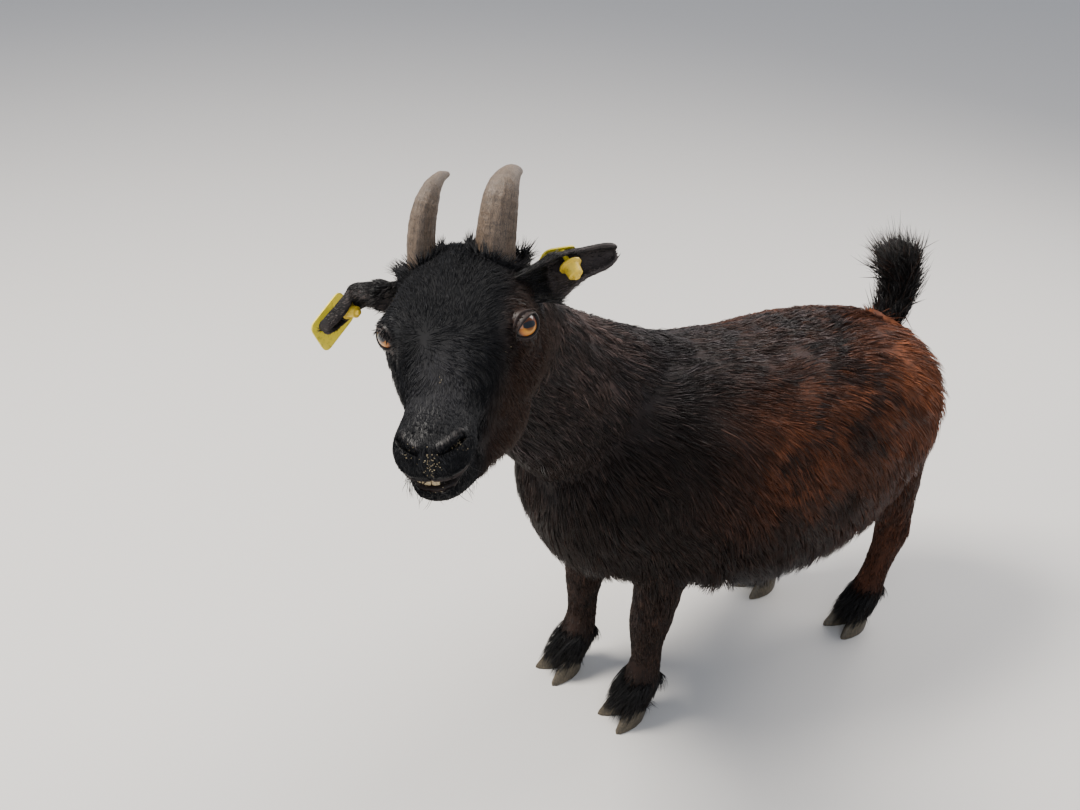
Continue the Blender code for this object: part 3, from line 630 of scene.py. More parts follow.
BLACK = vec(0.0050, 0.0044, 0.0044)
FACE = vec(0.0054, 0.0056, 0.0068)
BROWN = vec(0.038, 0.016, 0.008)
RUST = vec(0.120, 0.036, 0.013)
DUSK = vec(0.080, 0.052, 0.044)
# painted sheen: a grey tint that stands in for the light along the top of the back
SPINE_SHEEN = vec(0.050, 0.042, 0.044)
# painted highlight: a lighter grey for the light down the nose bridge
BRIDGE_HIGHLIGHT = vec(0.040, 0.039, 0.043)
PALE = vec(0.170, 0.135, 0.125)
LID = vec(0.030, 0.021, 0.018)


def markings(points, normals, part):
    """The coat's colour at each point: black face and legs, dusky neck, black shoulders and spine, rusty flanks, with
    a painted sheen along the spine, a painted highlight down the nose bridge, pale neck streaks that are partly
    painted highlight, and a darker underside that is partly painted shade.
    """
    x, y, z = points.T
    side = np.abs(y - MIDDLE_Y)
    flank = step(-0.04, 0.14, x + 0.03 * ripple(points, 0.12, 3))
    rump = step(0.20, 0.34, x)
    spine = step(0.085, 0.040, side) * step(0.38, 0.43, z)
    slope = np.stack([(x + z * 1.3) * 1.0, y * 1.2, (z - x * 0.55) * 4.0], 1)
    streaks = ripple(slope, 0.050, 5) + 0.6 * ripple(slope, 0.021, 6)
    groin = step(0.13, 0.24, x) * step(0.35, 0.27, z)
    along = np.stack([x + z, y, (z + x * 0.8) * 3.0], 1)
    # Pale streaks high on the neck, only where the skin faces up: partly the coat's own streaks, partly a painted
    # highlight on its upper side.
    pale = step(-0.5, 1.1, ripple(along, 0.018, 9)) * step(0.39, 0.50, z)
    pale *= step(-0.5, 0.4, normals[:, 2])
    knee = bell(np.linalg.norm(points - KNEE, axis=1), 0.016) * part["leg"]
    color = layered(
        rows(BROWN, len(points)) * 0.50,
        (RUST, flank * 0.80),
        (RUST * 2.0, rump * 0.80 * step(0.20, 0.27, z)),
        (BROWN * 0.5, spine * 0.70 * (1 - 0.7 * rump)),
        (BLACK * 1.5, step(0.10, -0.03, x) * 0.55),
        (BLACK * 1.6, step(0.30, 0.06, x) * step(0.36, 0.44, z) * 0.5),
        (BLACK * 1.3, (0.15 + 0.70 * step(-0.2, 1.0, streaks)) * flank * (1 - 0.45 * rump)),
        # Darker low on the body: partly the belly's own dark brown, partly painted shade under the body.
        (BROWN * 0.32, step(0.345, 0.25, z) * step(0.33, 0.22, x) * 0.9),
        (BROWN * 0.25, step(0.26, 0.20, z) * 0.9),
        (RUST * (0.40 + 0.12 * ripple(slope, 0.02, 12))[:, None], groin * 0.9),
        # painted sheen: grey streaks along the top of the back for the light on the glossy hair
        (SPINE_SHEEN, spine * step(-0.3, 0.9, ripple(slope, 0.016, 8)) * 0.55),
        # dusky neck with its pale streaks, which are partly painted highlight
        (DUSK * 1.2, np.maximum(part["neck"], part["head"]) * (0.12 + 0.78 * pale)),
        (BROWN * 0.45 + BLACK * 0.4, part["leg"] * 0.85),
        (RUST * 0.42, part["leg"] * step(0.12, 0.20, x) * 0.85),
        (BLACK, part["foot"] * 0.8),
        (DUSK * 0.9, knee * 0.7),
    )
    hx, hy, _ = part["at"].T
    cheek = face_parts(part["at"])[2]
    # Painted highlight: a lighter grey band down the nose bridge.
    bridge = step(0.026, 0.008, np.abs(hy)) * step(0.020, 0.055, hx) * step(0.120, 0.090, hx)
    face = layered(
        rows(FACE, len(points)), (BRIDGE_HIGHLIGHT * 0.7, bridge * 0.55), (BROWN * 0.8, cheek * step(0.0, 0.03, hy) * 0.8)
    )
    return blend_to(color, face, part["head"] * step(-0.100, -0.045, hx + 0.012 * ripple(points, 0.03, 61)))


def hide_tones(points, normals, part):
    """The hide's colour: the coat's colour darkened by painted shade under the hair, with the bare parts at the eyes,
    nostrils and lips.
    """
    tone = markings(points, normals, part)
    on_head, at = part["head"], part["at"]
    # Painted shade: the hide is darker than the coat under the hair, most of all on the head, so the gaps between the
    # tufts read as shadow.
    tone *= (0.8 - 0.40 * on_head)[:, None]
    for side in EYE_AT:
        a, b, far, front = eye_angles(at, side)
        gap = lid_gap(a, b, side)
        ring = on_head * (far < 0.024) * (front > 0)
        tone = layered(
            tone, (LID, ring * (1 - step(0.35, 0.75, gap)) * 0.8), (BLACK * 0.7, ring * (1 - step(0.05, 0.11, gap)))
        )
    for spot, along, over, out in NOSTRILS:
        away = at - spot
        length, height, depth = np.abs(away @ along), away @ over, away @ out
        rim = bell(height - 0.0050, 0.0022) * step(0.017, 0.008, length)
        inside = step(0.0026, 0.0012, np.abs(height)) * step(0.0140, 0.0120, length)
        tone = layered(
            tone,
            (PALE * 0.12, on_head * rim * (np.abs(depth) < 0.012)),
            (BLACK * 0.3, on_head * inside * (depth < -0.001)),
        )
    level = mouth_line(at)
    lips = on_head * step(0.07, 0.09, at[:, 0])
    inside = step(0.0042, 0.0030, np.abs(at[:, 2] - level))
    upper = bell(at[:, 2] - level - 0.0048, 0.0012)
    lower = bell(at[:, 2] - level + 0.0062, 0.0024) * (np.abs(at[:, 1]) < 0.022)
    return layered(
        tone,
        (BLACK * 0.8, lips * inside * 0.9),
        (DUSK * 0.35, lips * upper * 0.8),
        (BROWN * 0.5, lips * lower * 0.8),
    )


SKIN_POINTS, SKIN_NORMALS = points_of(skin), normals_of(skin)
skin_part = regions(SKIN_POINTS)
muzzle_weight = face_parts(skin_part["at"])[0] * skin_part["head"]
put_color(skin, "tone", hide_tones(SKIN_POINTS, SKIN_NORMALS, skin_part))
put(skin, "bare", np.maximum(muzzle_weight, skin_part["head"] * near_eye(skin_part["at"])))
paint(skin, skin_material())
unfold(skin)

# ---------------- the way the hair lies


def laid(way, normal, share=1.0):
    """A direction turned down along the skin, by a share."""
    return unit(way - normal * np.sum(way * normal, 1)[:, None] * share)


def strayed(way, normal, spread, share=1):
    """Directions turned a little to one side, each by chance."""
    turn = chance.normal(0, spread, len(way)) * share
    return unit(way + np.cross(normal, way) * turn[:, None])


def lie(points, normals, part):
    """The direction that the hair lies in at each point, along the skin."""
    x, _, z = points.T
    count = len(points)
    side = 1 - np.abs(normals[:, 2])
    flow = np.stack([0.95 + 0 * x, 0 * x, -0.15 - 0.75 * side], 1)
    flow[:, 2] -= 0.5 * step(0.30, 0.20, z)
    leg = rows(vec(0.12, 0.0, -1.0), count)
    leg[:, 0] -= 0.75 * part["foot"]
    flow = layered(flow, (rows(NECK_WAY + (0, 0, -0.25), count), part["neck"]), (leg, part["leg"]))
    hx, hy, _ = part["at"].T
    _, crown, cheek = face_parts(part["at"])
    face = np.stack([hx - WHORL[0], (hy - WHORL[1]) * 1.1, 0 * hx], 1)
    face += 0.014 * np.stack([ripple(points, 0.03, 51), ripple(points, 0.03, 52), 0 * hx], 1)
    face = unit(face)
    face[:, 0] += 0.35 * step(0.045, 0.09, hx)
    back = np.stack([-1.0 + 0 * hx, 0.25 * np.sign(hy), 0.25 + 0 * hx], 1)
    face = layered(face, (rows(vec(-0.25, 0.0, -1.0), count), cheek), (back, crown))
    flow = blend_to(flow, face @ HEAD_TURN.T, part["head"])
    flow[:, 2] -= 0.55 * (1 - part["head"]) * step(0.45, 0.36, z)
    flow += 0.16 * np.stack([ripple(points, 0.05, 21 + k) for k in range(3)], 1) * (1 - 0.6 * part["head"])[:, None]
    return laid(flow, normals)


FLOOR_GAP = 0.0007  # no hair comes lower than this
TUFTS_A_LOCK = 9
TUFT_WIDTH = ((0, 0.35, 0.75, 1), (0.75, 1.0, 0.72, 0.1))  # along a tuft, and its share of the width there
TUFT_SHADE = ((0, 0.5, 1), (0.55, 1.0, 1.25))  # along a tuft, and how light it is there
FIBRE, FIBRE_LENGTH = 0.00035, 0.030
PATCH = 0.003  # a tuft's size on the map


def tuft_faces(rings, count):
    """The triangles of tufts that have three points in each ring and one at the tip."""
    sides = ((0, 1), (1, 2), (2, 0))
    pattern = [(0, 1, 2)]
    for low in range(0, 3 * rings - 3, 3):
        high = low + 3
        for a, b in sides:
            pattern += [(low + a, high + a, high + b), (low + a, high + b, low + b)]
    last, tip = 3 * rings - 3, 3 * rings
    pattern += [(last + a, tip, last + b) for a, b in sides]
    return (np.array(pattern)[None] + (np.arange(count) * (tip + 1))[:, None, None]).reshape(-1, 3)


def in_locks(places, root, length, clump):
    """Draws each tuft towards the nearest of some that lead a lock."""
    count = len(root)
    locks = max(count // TUFTS_A_LOCK, 1)
    tree = KDTree(locks)
    leaders = chance.choice(count, locks, replace=False)
    for i, leader in enumerate(leaders):
        tree.insert(root[leader], i)
    tree.balance()
    host = np.array([leaders[tree.find(place)[1]] for place in root])
    for k in range(1, len(places)):
        pull = clump * (k / (len(places) - 1)) ** 1.4
        places[k] += (places[k][host] - places[k]) * pull * np.clip(length[host] / length, 0.5, 1.2)[:, None] * 0.9


def strand_mesh(name, ground, way, size, lift, tone, mat, rings=3, sag=0.0, clump=0.0, curl=None):
    """One mesh of many tapering three-sided tufts, each bent from its root to its tip.

    The ground is each tuft's root, normal and place on the map; the size is its length, width and thickness.
    """
    root, normal, uv = ground
    count = len(root)
    length, width, thick = (np.broadcast_to(value, count) for value in size)
    along = np.linspace(0, 1, rings + 1)
    places, sides, ups = [], [], []
    place = root - normal * (0.4 * thick)[:, None]
    for k, t in enumerate(along):
        tilt = lift * (1 - 1.15 * t)
        heading = way * np.cos(tilt)[:, None] + normal * np.sin(tilt)[:, None]
        heading[:, 2] -= sag * t  # one value, or one for each tuft
        if curl is not None:
            heading += np.cross(normal, way) * (curl * (t - 0.3))[:, None]
        heading = unit(heading)
        if k:
            place = place + heading * (length / rings)[:, None]
        side = unit(np.cross(heading, normal))
        places.append(place.copy())
        sides.append(side)
        ups.append(np.cross(side, heading))
    if clump > 0:
        in_locks(places, root, length, clump)
    profile = np.interp(along[:-1], *TUFT_WIDTH)
    stride = 3 * rings + 1
    vertices = np.empty((count, stride, 3))
    for k in range(rings):
        wide, tall = (width * profile[k] / 2)[:, None], (thick * profile[k])[:, None]
        vertices[:, 3 * k] = places[k] - sides[k] * wide
        vertices[:, 3 * k + 1] = places[k] + sides[k] * wide
        vertices[:, 3 * k + 2] = places[k] + ups[k] * tall
    vertices[:, -1] = places[rings]
    vertices[..., 2] = np.maximum(vertices[..., 2], FLOOR_GAP)
    faces = tuft_faces(rings, count)
    data = bpy.data.meshes.new(name)
    data.vertices.add(count * stride)
    data.vertices.foreach_set("co", vertices.astype(np.float32).ravel())
    data.loops.add(len(faces) * 3)
    data.loops.foreach_set("vertex_index", faces.astype(np.int32).ravel())
    data.polygons.add(len(faces))
    data.polygons.foreach_set("loop_start", np.arange(0, len(faces) * 3, 3, dtype=np.int32))
    data.update(calc_edges=True)
    data.shade_smooth()
    obj = in_scene(name, data)
    paint(obj, mat)
    ring_share = np.append(np.repeat(along[:-1], 3), 1.0)
    shade = np.interp(ring_share, *TUFT_SHADE)
    put_color(obj, "tone", (tone[:, None, :] * shade[None, :, None]).reshape(-1, 3))
    across = np.append(np.tile((-0.5, 0.5, 0.0), rings), 0.0)
    seed = chance.uniform(0, 400, count)
    lay = np.empty((count, stride, 3))
    lay[..., 0] = across[None] * (width / FIBRE)[:, None] + seed[:, None]
    lay[..., 1] = ring_share[None] * (length / FIBRE_LENGTH)[:, None] + seed[:, None] * 0.37
    lay[..., 2] = seed[:, None] * 0.11
    put(obj, "lay", lay.reshape(-1, 3))
    layer = data.uv_layers.new(name="OFBake")
    corner = uv[:, None, :] + np.stack([across * PATCH, (ring_share - 0.5) * PATCH], 1)[None]
    corner = np.clip(corner.reshape(-1, 2)[faces.ravel()], 0, 1)
    layer.data.foreach_set("uv", corner.astype(np.float32).ravel())
    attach(obj, "root")


# ---------------- sowing the hair on the skin

TRIANGLES = triangles_of(skin)
corner_loops = read(skin.data.loop_triangles, "loops", kind=np.int32)
TRIANGLE_UV = read(skin.data.uv_layers["OFBake"].data, "uv", 2)[corner_loops]
A, B, C = (SKIN_POINTS[TRIANGLES[:, k]] for k in range(3))
AREAS = np.linalg.norm(np.cross(B - A, C - A), axis=1) / 2
MIDDLES = (A + B + C) / 3
SKIN_TREE = BVHTree.FromPolygons([tuple(p) for p in SKIN_POINTS], [tuple(t) for t in TRIANGLES])
HAIR = hair_material("glossy goat hair", 0.42, 0.20)
SHORT_HAIR = hair_material("short black face hair", 0.55, 0.14)
PARTS = 1.0
BODY_CUTS = (-1.0, -0.12, -0.03, 0.06, 0.15, 0.25, 1.0)  # the coat's pieces, from front to back
TUFTS = {"body": 13400, "feet": 4500, "face": 18500, "crown": 9000, "tail": 4600, "ear": 4500}
TUFTS = {place: int(count * PARTS) for place, count in TUFTS.items()}
WHISKERS = 90
GLINTS, BROWN_TUFTS = 0.08, 0.12  # the shares of light tufts on the body and of brown ones in the tail


def sow(weight, count):
    """Random roots on the skin, as thick as the weight of each triangle, with their normals and places on the map."""
    share = AREAS * weight
    chosen = np.sort(chance.choice(len(share), count, p=share / share.sum()))
    u, v = chance.random(count), chance.random(count)
    flip = u + v > 1
    u[flip], v[flip] = 1 - u[flip], 1 - v[flip]
    bary = np.stack([1 - u - v, u, v], 1)[..., None]
    corners = TRIANGLES[chosen]
    normal = unit((SKIN_NORMALS[corners] * bary).sum(1))
    return (SKIN_POINTS[corners] * bary).sum(1), normal, (TRIANGLE_UV[chosen] * bary).sum(1)


def skin_uv(roots):
    """The skin's own map at the place nearest to each root."""
    return np.array([TRIANGLE_UV[SKIN_TREE.find_nearest(root)[2]].mean(0) for root in roots])


def varied(base, spread, count):
    """A size made longer or shorter by chance, by up to a share."""
    return base * chance.uniform(1 - spread, 1 + spread, count)


def tinted(tone, spread, count):
    """A colour made lighter or darker by chance, by up to a share."""
    return tone * chance.uniform(1 - spread, 1 + spread, count)[:, None]


def body_coat(name, weight, count):
    """Long flat hair on the trunk and neck, with a fringe under the belly and at the elbows, shorter on the legs."""
    ground = root, normal, _ = sow(weight, count)
    part = regions(root)
    way = lie(root, normal, part)
    x, y, z = root.T
    low = step(0.0, -0.6, normal[:, 2]) * (1 - part["lower"]) * step(0.30, 0.22, z)
    croup = step(0.045, 0.015, np.abs(y - MIDDLE_Y)) * step(0.12, 0.17, x) * step(0.36, 0.40, z)
    length = 0.034 + 0.018 * low + 0.004 * ripple(root, 0.06, 31)
    length = length * (1 - part["leg"]) + 0.019 * part["leg"]
    length = length * (1 - part["lower"]) + (0.010 + 0.010 * part["foot"]) * part["lower"]
    length = varied(length, 0.25, count)
    width = varied(0.00110, 0.35, count) * (1 - 0.25 * part["lower"])
    lift = np.radians(14) + 0.14 * ripple(root, 0.02, 33) + chance.normal(0, 0.09, count)
    lift += 0.34 * low + 0.22 * croup * step(0.31, 0.27, x)
    for elbow in ELBOWS:
        close = 1 - step(0.008, 0.020, np.linalg.norm(root - elbow, axis=1))
        length += 0.016 * close
        lift += 0.55 * close
    tone = tinted(markings(root, normal, part), 0.55, count)
    tone *= (1 + 0.35 * ripple(root, 0.010, 41)).clip(0.35)[:, None]
    glint = chance.random(count) < GLINTS
    tone[glint] = tone[glint] * 1.8 + (0.016, 0.011, 0.010)
    way = strayed(way, normal, 0.10)
    curl = 0.25 * ripple(root, 0.03, 39) + chance.normal(0, 0.10, count)
    size = (length, width, width * 0.45)
    strand_mesh(name, ground, way, size, lift, tone, HAIR, rings=2, sag=0.10 + 0.5 * low, clump=0.6, curl=curl)


def feet_coat(count):
    """Shaggy hair that hangs from the pasterns over the claws."""
    ground = _, normal, _ = sow((MIDDLES[:, 2] < 0.060) * (MIDDLES[:, 2] > 0.014) * 1.0, count)
    fore = step(0.3, -0.6, normal[:, 0])
    way = np.stack([-0.35 - 0.65 * fore, 0.15 * np.sign(normal[:, 1]), -0.80 + 0 * fore], 1)
    way = strayed(laid(way, normal, (1 - 0.75 * fore)[:, None]), normal, 0.30)
    size = (varied(0.019 + 0.011 * fore, 0.30, count), varied(0.0009, 0.3, count), 0.0004)
    lift = np.radians(13) + 0.06 * fore + chance.normal(0, 0.08, count)
    tone = tinted(BLACK * 1.2, 0.4, count)
    curl = chance.normal(0, 0.3, count)
    strand_mesh("coat_feet", ground, way, size, lift, tone, HAIR, sag=0.35, clump=0.5, curl=curl)


def ear_roots(at):
    """1 at the roots of the ears, and the direction that they grow in."""
    near = np.zeros(len(at))
    way = np.zeros((len(at), 3))
    for root, along, _ in EARS.values():
        found = 1 - step(0.008, 0.026, np.linalg.norm(at - root, axis=1))
        near = np.maximum(near, found)
        way += found[:, None] * along
    return near, way


def face_coat(name, weight, count):
    """Short fine hair that spreads from the forehead's whorl, longer on the crown, cheeks and ear roots."""
    ground = root, normal, _ = sow(weight, count)
    part = regions(root)
    at = part["at"]
    muzzle, crown, cheek = face_parts(at)
    near, ear_way = ear_roots(at)
    way = laid(unit(lie(root, normal, part) + 1.5 * ear_way @ HEAD_TURN.T), normal)
    length = 0.0110 + 0.0040 * crown + 0.004 * cheek - 0.0070 * muzzle + 0.005 * near
    length = varied(length * (1 - 0.55 * near_eye(at, 0.022)), 0.25, count)
    width = varied(0.00066 + 0.0001 * crown + 0.0002 * cheek - 0.00014 * muzzle, 0.3, count)
    lift = np.radians(8) + np.radians(2) * crown + 0.08 * ripple(root, 0.02, 35) + chance.normal(0, 0.07, count)
    tone = tinted(markings(root, normal, part), 0.30, count)
    whorl = bell(np.hypot(at[:, 0] - WHORL[0], at[:, 1] - WHORL[1]), 0.018)
    way = strayed(way, normal, 0.20, 1 + 4 * whorl)
    curl = chance.normal(0, 0.3, count)
    strand_mesh(
        name, ground, way, (length, width, width * 0.45), lift, tone, SHORT_HAIR, rings=2, clump=0.35, curl=curl
    )


def by_lids(at):
    """1 on the bare rims of the lids, 0 where the short hair round them begins."""
    found = np.zeros(len(at))
    for side in EYE_AT:
        a, b, far, front = eye_angles(at, side)
        found = np.maximum(found, (far < 0.021) * (front > 0) * (1 - step(0.18, 0.34, lid_gap(a, b, side))))
    return found


def sow_body_and_face():
    """The coat's pieces from the shoulders back, the feet, and the two sides and crown of the head."""
    part = regions(MIDDLES)
    body = (1 - part["head"]) * (0.1 + 0.9 * step(0.016, 0.022, MIDDLES[:, 2]))
    for i, (start, end) in enumerate(zip(BODY_CUTS, BODY_CUTS[1:])):
        inside = (MIDDLES[:, 0] >= start) & (MIDDLES[:, 0] < end)
        body_coat(f"coat_body_{i + 1}", body * inside * (1 + part["leg"] * 1.2), TUFTS["body"])
    feet_coat(TUFTS["feet"])
    at = part["at"]
    muzzle, crown, _ = face_parts(at)
    head = part["head"] * (1 - by_lids(at))
    head *= 1 - 0.75 * step(0.128, 0.140, at[:, 0])
    head *= 1 - step(0.0075, 0.0045, np.abs(at[:, 2] - mouth_line(at))) * step(0.085, 0.100, at[:, 0])
    face = head * (1 - crown) * (0.75 + 1.7 * muzzle)
    left = at[:, 1] > 0
    face_coat("coat_face_left", face * left, TUFTS["face"])
    face_coat("coat_face_right", face * ~left, TUFTS["face"])
    face_coat("coat_crown", head * crown, TUFTS["crown"])


sow_body_and_face()

# ---------------- tail fan and whiskers


def tail_fan(count):
    """A ruffled fan of long hair that stands up from the dock and leans back over it."""
    share = chance.random(count) ** 0.8
    axis = unit(along_line(TAIL_LINE, np.minimum(share + 0.05, 1)) - along_line(TAIL_LINE, share - 0.05))
    turn = chance.uniform(0, 2 * math.pi, count)
    side = rows(vec(0.0, 1.0, 0.0), count)
    fore = unit(np.cross(axis, side))
    normal = side * np.cos(turn)[:, None] + fore * np.sin(turn)[:, None]
    root = along_line(TAIL_LINE, share) + normal * np.interp(share, (0, 1), (0.013, 0.005))[:, None]
    spread = chance.uniform(-0.10, 1.25, count) * (0.4 + 0.6 * share)
    stray = chance.normal(0, 0.16, (count, 3))
    lean = unit(axis + spread[:, None] * (-0.95, 0.50, 0.0) + (0.0, 0.0, 0.45) + stray)
    length = varied(0.034 + 0.026 * share + 0.012 * spread.clip(0, 1), 0.22, count)
    lift = np.radians(6) + chance.normal(0, 0.10, count)
    size = (length, varied(0.0011, 0.4, count), 0.0006)
    tone = tinted(BLACK * 1.3, 0.5, count)
    tone[chance.random(count) < BROWN_TUFTS] = BROWN * 0.5
    way = strayed(lean, normal, 0.25)
    curl = chance.normal(0, 0.45, count)
    ground = (root, normal, skin_uv(root))
    strand_mesh("coat_tail", ground, way, size, lift, tone, HAIR, sag=0.10, clump=0.45, curl=curl)


def whiskers(count):
    """Single stiff hairs under the chin and lips."""
    roots, ways = [], []
    for _ in range(count):
        x = chance.uniform(0.085, 0.128)
        turn = chance.uniform(0.2, 2.94)
        y = 0.022 * math.cos(turn)
        z = -0.066 + 0.006 * (1 - math.sin(turn)) + chance.uniform(-0.004, 0.008)
        roots.append((x, y, z))
        ways.append((chance.uniform(0.1, 0.8), y * 30, -chance.uniform(0.3, 1.0)))
    found = [SKIN_TREE.find_nearest(root) for root in world_place(np.array(roots))]
    root, normal = (np.array([hit[k] for hit in found]) for k in (0, 1))
    size = (varied(0.014, 0.45, count), 0.00042, 0.00035)
    way = laid(unit(np.array(ways)) @ HEAD_TURN.T, normal, 0.8)
    ground = (root, normal, skin_uv(root))
    curl = chance.normal(0, 0.4, count)
    strand_mesh("coat_whiskers", ground, way, size, np.full(count, 0.75), rows(BLACK, count), HAIR, curl=curl)


tail_fan(TUFTS["tail"])
whiskers(WHISKERS)

# ---------------- ears


def make_ear(side):
    """An ear's leaf, drawn in at its root and tip so that it lies under its hair."""
    root, along, _ = EARS[side]
    ear = copied([f"ear_{side}"], f"ear_{side}_skin")
    remeshed(ear, EAR_GRAIN)
    for swell in (0.0030, -0.0024):  # closes the rolled tip
        end = step(0.034, 0.050, (head_place(points_of(ear)) - root) @ along)
        set_points(ear, points_of(ear) + normals_of(ear) * (swell * end)[:, None])
        remeshed(ear, EAR_GRAIN)
        smoothed(ear, 6)
    thinned(ear, EAR_KEPT)
    at = head_place(points_of(ear))
    reach = (at - root) @ along
    axis = root + reach[:, None] * along
    at = axis + (at - axis) * (1 - 0.45 * step(0.016, -0.004, reach))[:, None]
    at -= along * (0.016 * step(0.010, -0.002, reach) + 0.004 * step(0.030, 0.060, reach))[:, None]
    set_points(ear, world_place(at))
    set_points(ear, points_of(ear) - normals_of(ear) * 0.0004)
    return ear


def ear_hair(side, ear, count):
    """Fine hair along an ear, denser outside, with a pale edge and pale hair inside."""
    ear_root, along, back = EARS[side]
    corners = triangles_of(ear)
    points, normals = points_of(ear), normals_of(ear)
    a, b, c = (points[corners[:, k]] for k in range(3))
    cross = np.cross(b - a, c - a)
    reach = (head_place((a + b + c) / 3) - ear_root) @ along
    facing = (unit(cross) @ HEAD_TURN) @ back
    weight = 0.55 + 0.45 * step(-0.2, 0.5, facing) + 0.6 * step(0.024, 0.010, reach)
    weight = np.linalg.norm(cross, axis=1) * weight * (reach > -0.022)
    chosen = np.sort(chance.choice(len(weight), count, p=weight / weight.sum()))
    mixed = chance.dirichlet((1, 1, 1), count)[..., None]
    root = (points[corners[chosen]] * mixed).sum(1)
    normal = unit((normals[corners[chosen]] * mixed).sum(1))
    reach = (head_place(root) - ear_root) @ along
    facing = facing[chosen]
    way = strayed(laid(rows(along @ HEAD_TURN.T, count), normal), normal, 0.25)
    edge = np.abs(facing) < 0.4
    low = normal[:, 2] < -0.3
    length = 0.0055 + 0.004 * (edge & low) + 0.008 * step(0.022, 0.004, reach) - 0.003 * step(0.036, 0.055, reach)
    size = (varied(length, 0.25, count), varied(0.0007, 0.3, count), 0.0003)
    tone = tinted(BLACK * 1.2, 0.4, count)
    inner = step(0.3, -0.3, facing) * step(0.1, 0.5, normal[:, 2]) * step(0.010, 0.022, reach)
    tone = blend_to(tone, PALE * 0.45, inner * 0.85)
    rim = edge & (reach > 0.018) & (normal[:, 2] > 0.1) & (chance.random(count) < 0.5)
    tone[rim] = blend_to(tone[rim], PALE * 0.6, np.full(rim.sum(), 0.5))
    lift = np.radians(9) + chance.normal(0, 0.06, count)
    ground = (root, normal, skin_uv(root))
    strand_mesh(f"coat_ear_{side}", ground, way, size, lift, tone, HAIR, rings=2, clump=0.35)


def add_ears():
    """Makes the ears and their hair, and the ears part of the one skin with its attributes and its map."""
    ears = {side: make_ear(side) for side in EARS}
    for side, ear in ears.items():
        ear_hair(side, ear, TUFTS["ear"])
    for side, ear in ears.items():
        facing = (normals_of(ear) @ HEAD_TURN) @ EARS[side][2]
        black = rows(BLACK * 1.3, len(facing))
        put_color(ear, "tone", blend_to(black, PALE * 0.30, step(0.0, -0.7, facing) * 0.6))
        put(ear, "bare", step(0.2, -0.6, facing) * 0.6)
        paint(ear, skin.data.materials[0])
        unfold(ear)
    joined(skin, *ears.values())


add_ears()
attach(skin, "root")
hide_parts(*FLESH, "tail", "ear_left", "ear_right")

# ---------------- eyes

PUPIL = (0.39, 0.175)  # a rounded bar's half width and height, by the eye's radius
LEVEL = vec(-0.225, 0.152, 0.962)  # the world's upward direction in head places


def eye_material():
    """Amber iris round a wide dark pupil that stays level, all wet and glossy, with painted shade from the upper lid
    over its top and painted light brightening it below.
    """
    mat, tree, shader = new_material("goat eye")
    apart = tree.nodes.new("ShaderNodeSeparateXYZ")
    feed(apart, 0, attribute(tree, "look", "Vector"))
    wide, high = apart.outputs[0], apart.outputs[1]
    squares = [sums(tree, "MULTIPLY", part, part) for part in (wide, high)]
    radius = sums(tree, "SQRT", sums(tree, "ADD", *squares))
    turned = tree.nodes.new("ShaderNodeCombineXYZ")
    feed(turned, 0, sums(tree, "MULTIPLY", sums(tree, "ARCTAN2", high, wide), 9.0))
    feed(turned, 1, sums(tree, "MULTIPLY", radius, 3.0))
    fibres = noise(tree, turned.outputs[0], 1.6, 3.0, 0.6)
    iris = ramp(tree, sums(tree, "MULTIPLY_ADD", fibres, 0.16, sums(tree, "SUBTRACT", radius, 0.08)), (
        (0.24, (0.12, 0.034, 0.005)),
        (0.36, (0.36, 0.125, 0.014)),
        (0.50, (0.30, 0.085, 0.009)),
        (0.60, (0.14, 0.034, 0.006)),
        (0.68, (0.008, 0.004, 0.003)),
    ))
    # Painted shade and light: the iris is darkened towards its top, where the upper lid shades it, and brightened
    # below.
    light = ramp(tree, sums(tree, "MULTIPLY_ADD", high, -1.0, 0.5), (
        (0.25, (0.30, 0.22, 0.22)),
        (0.50, (0.8, 0.75, 0.7)),
        (0.80, (1.6, 1.95, 1.6)),
    ))
    bar = [sums(tree, "DIVIDE", wide, PUPIL[0]), sums(tree, "DIVIDE", sums(tree, "SUBTRACT", high, 0.05), PUPIL[1])]
    bar = [sums(tree, "POWER", sums(tree, "ABSOLUTE", part), 3.2) for part in bar]
    pupil = ramp(tree, sums(tree, "ADD", *bar), ((0.90, 1), (1.0, 0)))
    color = mix(tree, pupil, mix(tree, 1.0, iris, light, "MULTIPLY"), (0.004, 0.006, 0.010))
    finish(shader, color, 0.35, 0.10)
    for socket, value in (("Coat Weight", 1.0), ("Coat Roughness", 0.02), ("Coat IOR", 1.376)):
        feed(shader, socket, value)
    return mat


def make_eye(side, mat):
    """An eyeball with a raised clear front that looks along its gaze and keeps its pupil level."""
    gaze = EYE_AXES[side][0]
    up = unit(LEVEL - gaze * (LEVEL @ gaze))
    across = np.cross(up, gaze)
    bpy.ops.mesh.primitive_uv_sphere_add(segments=64, ring_count=40, radius=EYE_RADIUS)
    eye = bpy.context.object
    eye.name = eye.data.name = f"eyeball_{side}"
    points = points_of(eye)
    look = points / EYE_RADIUS
    bulge = 1 + 0.05 * step(0.72, 1.0, look[:, 2]) - 0.012
    points *= bulge[:, None]
    at = EYE_AT[side] + points[:, :1] * across + points[:, 1:2] * up + points[:, 2:] * gaze
    set_points(eye, world_place(at))
    put(eye, "look", look)
    bpy.ops.object.shade_smooth()
    paint(eye, mat)
    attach(eye, "root")
    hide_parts(f"eye_{side}")


eye_look = eye_material()
for side in EYE_AT:
    make_eye(side, eye_look)

# ---------------- horns and claws

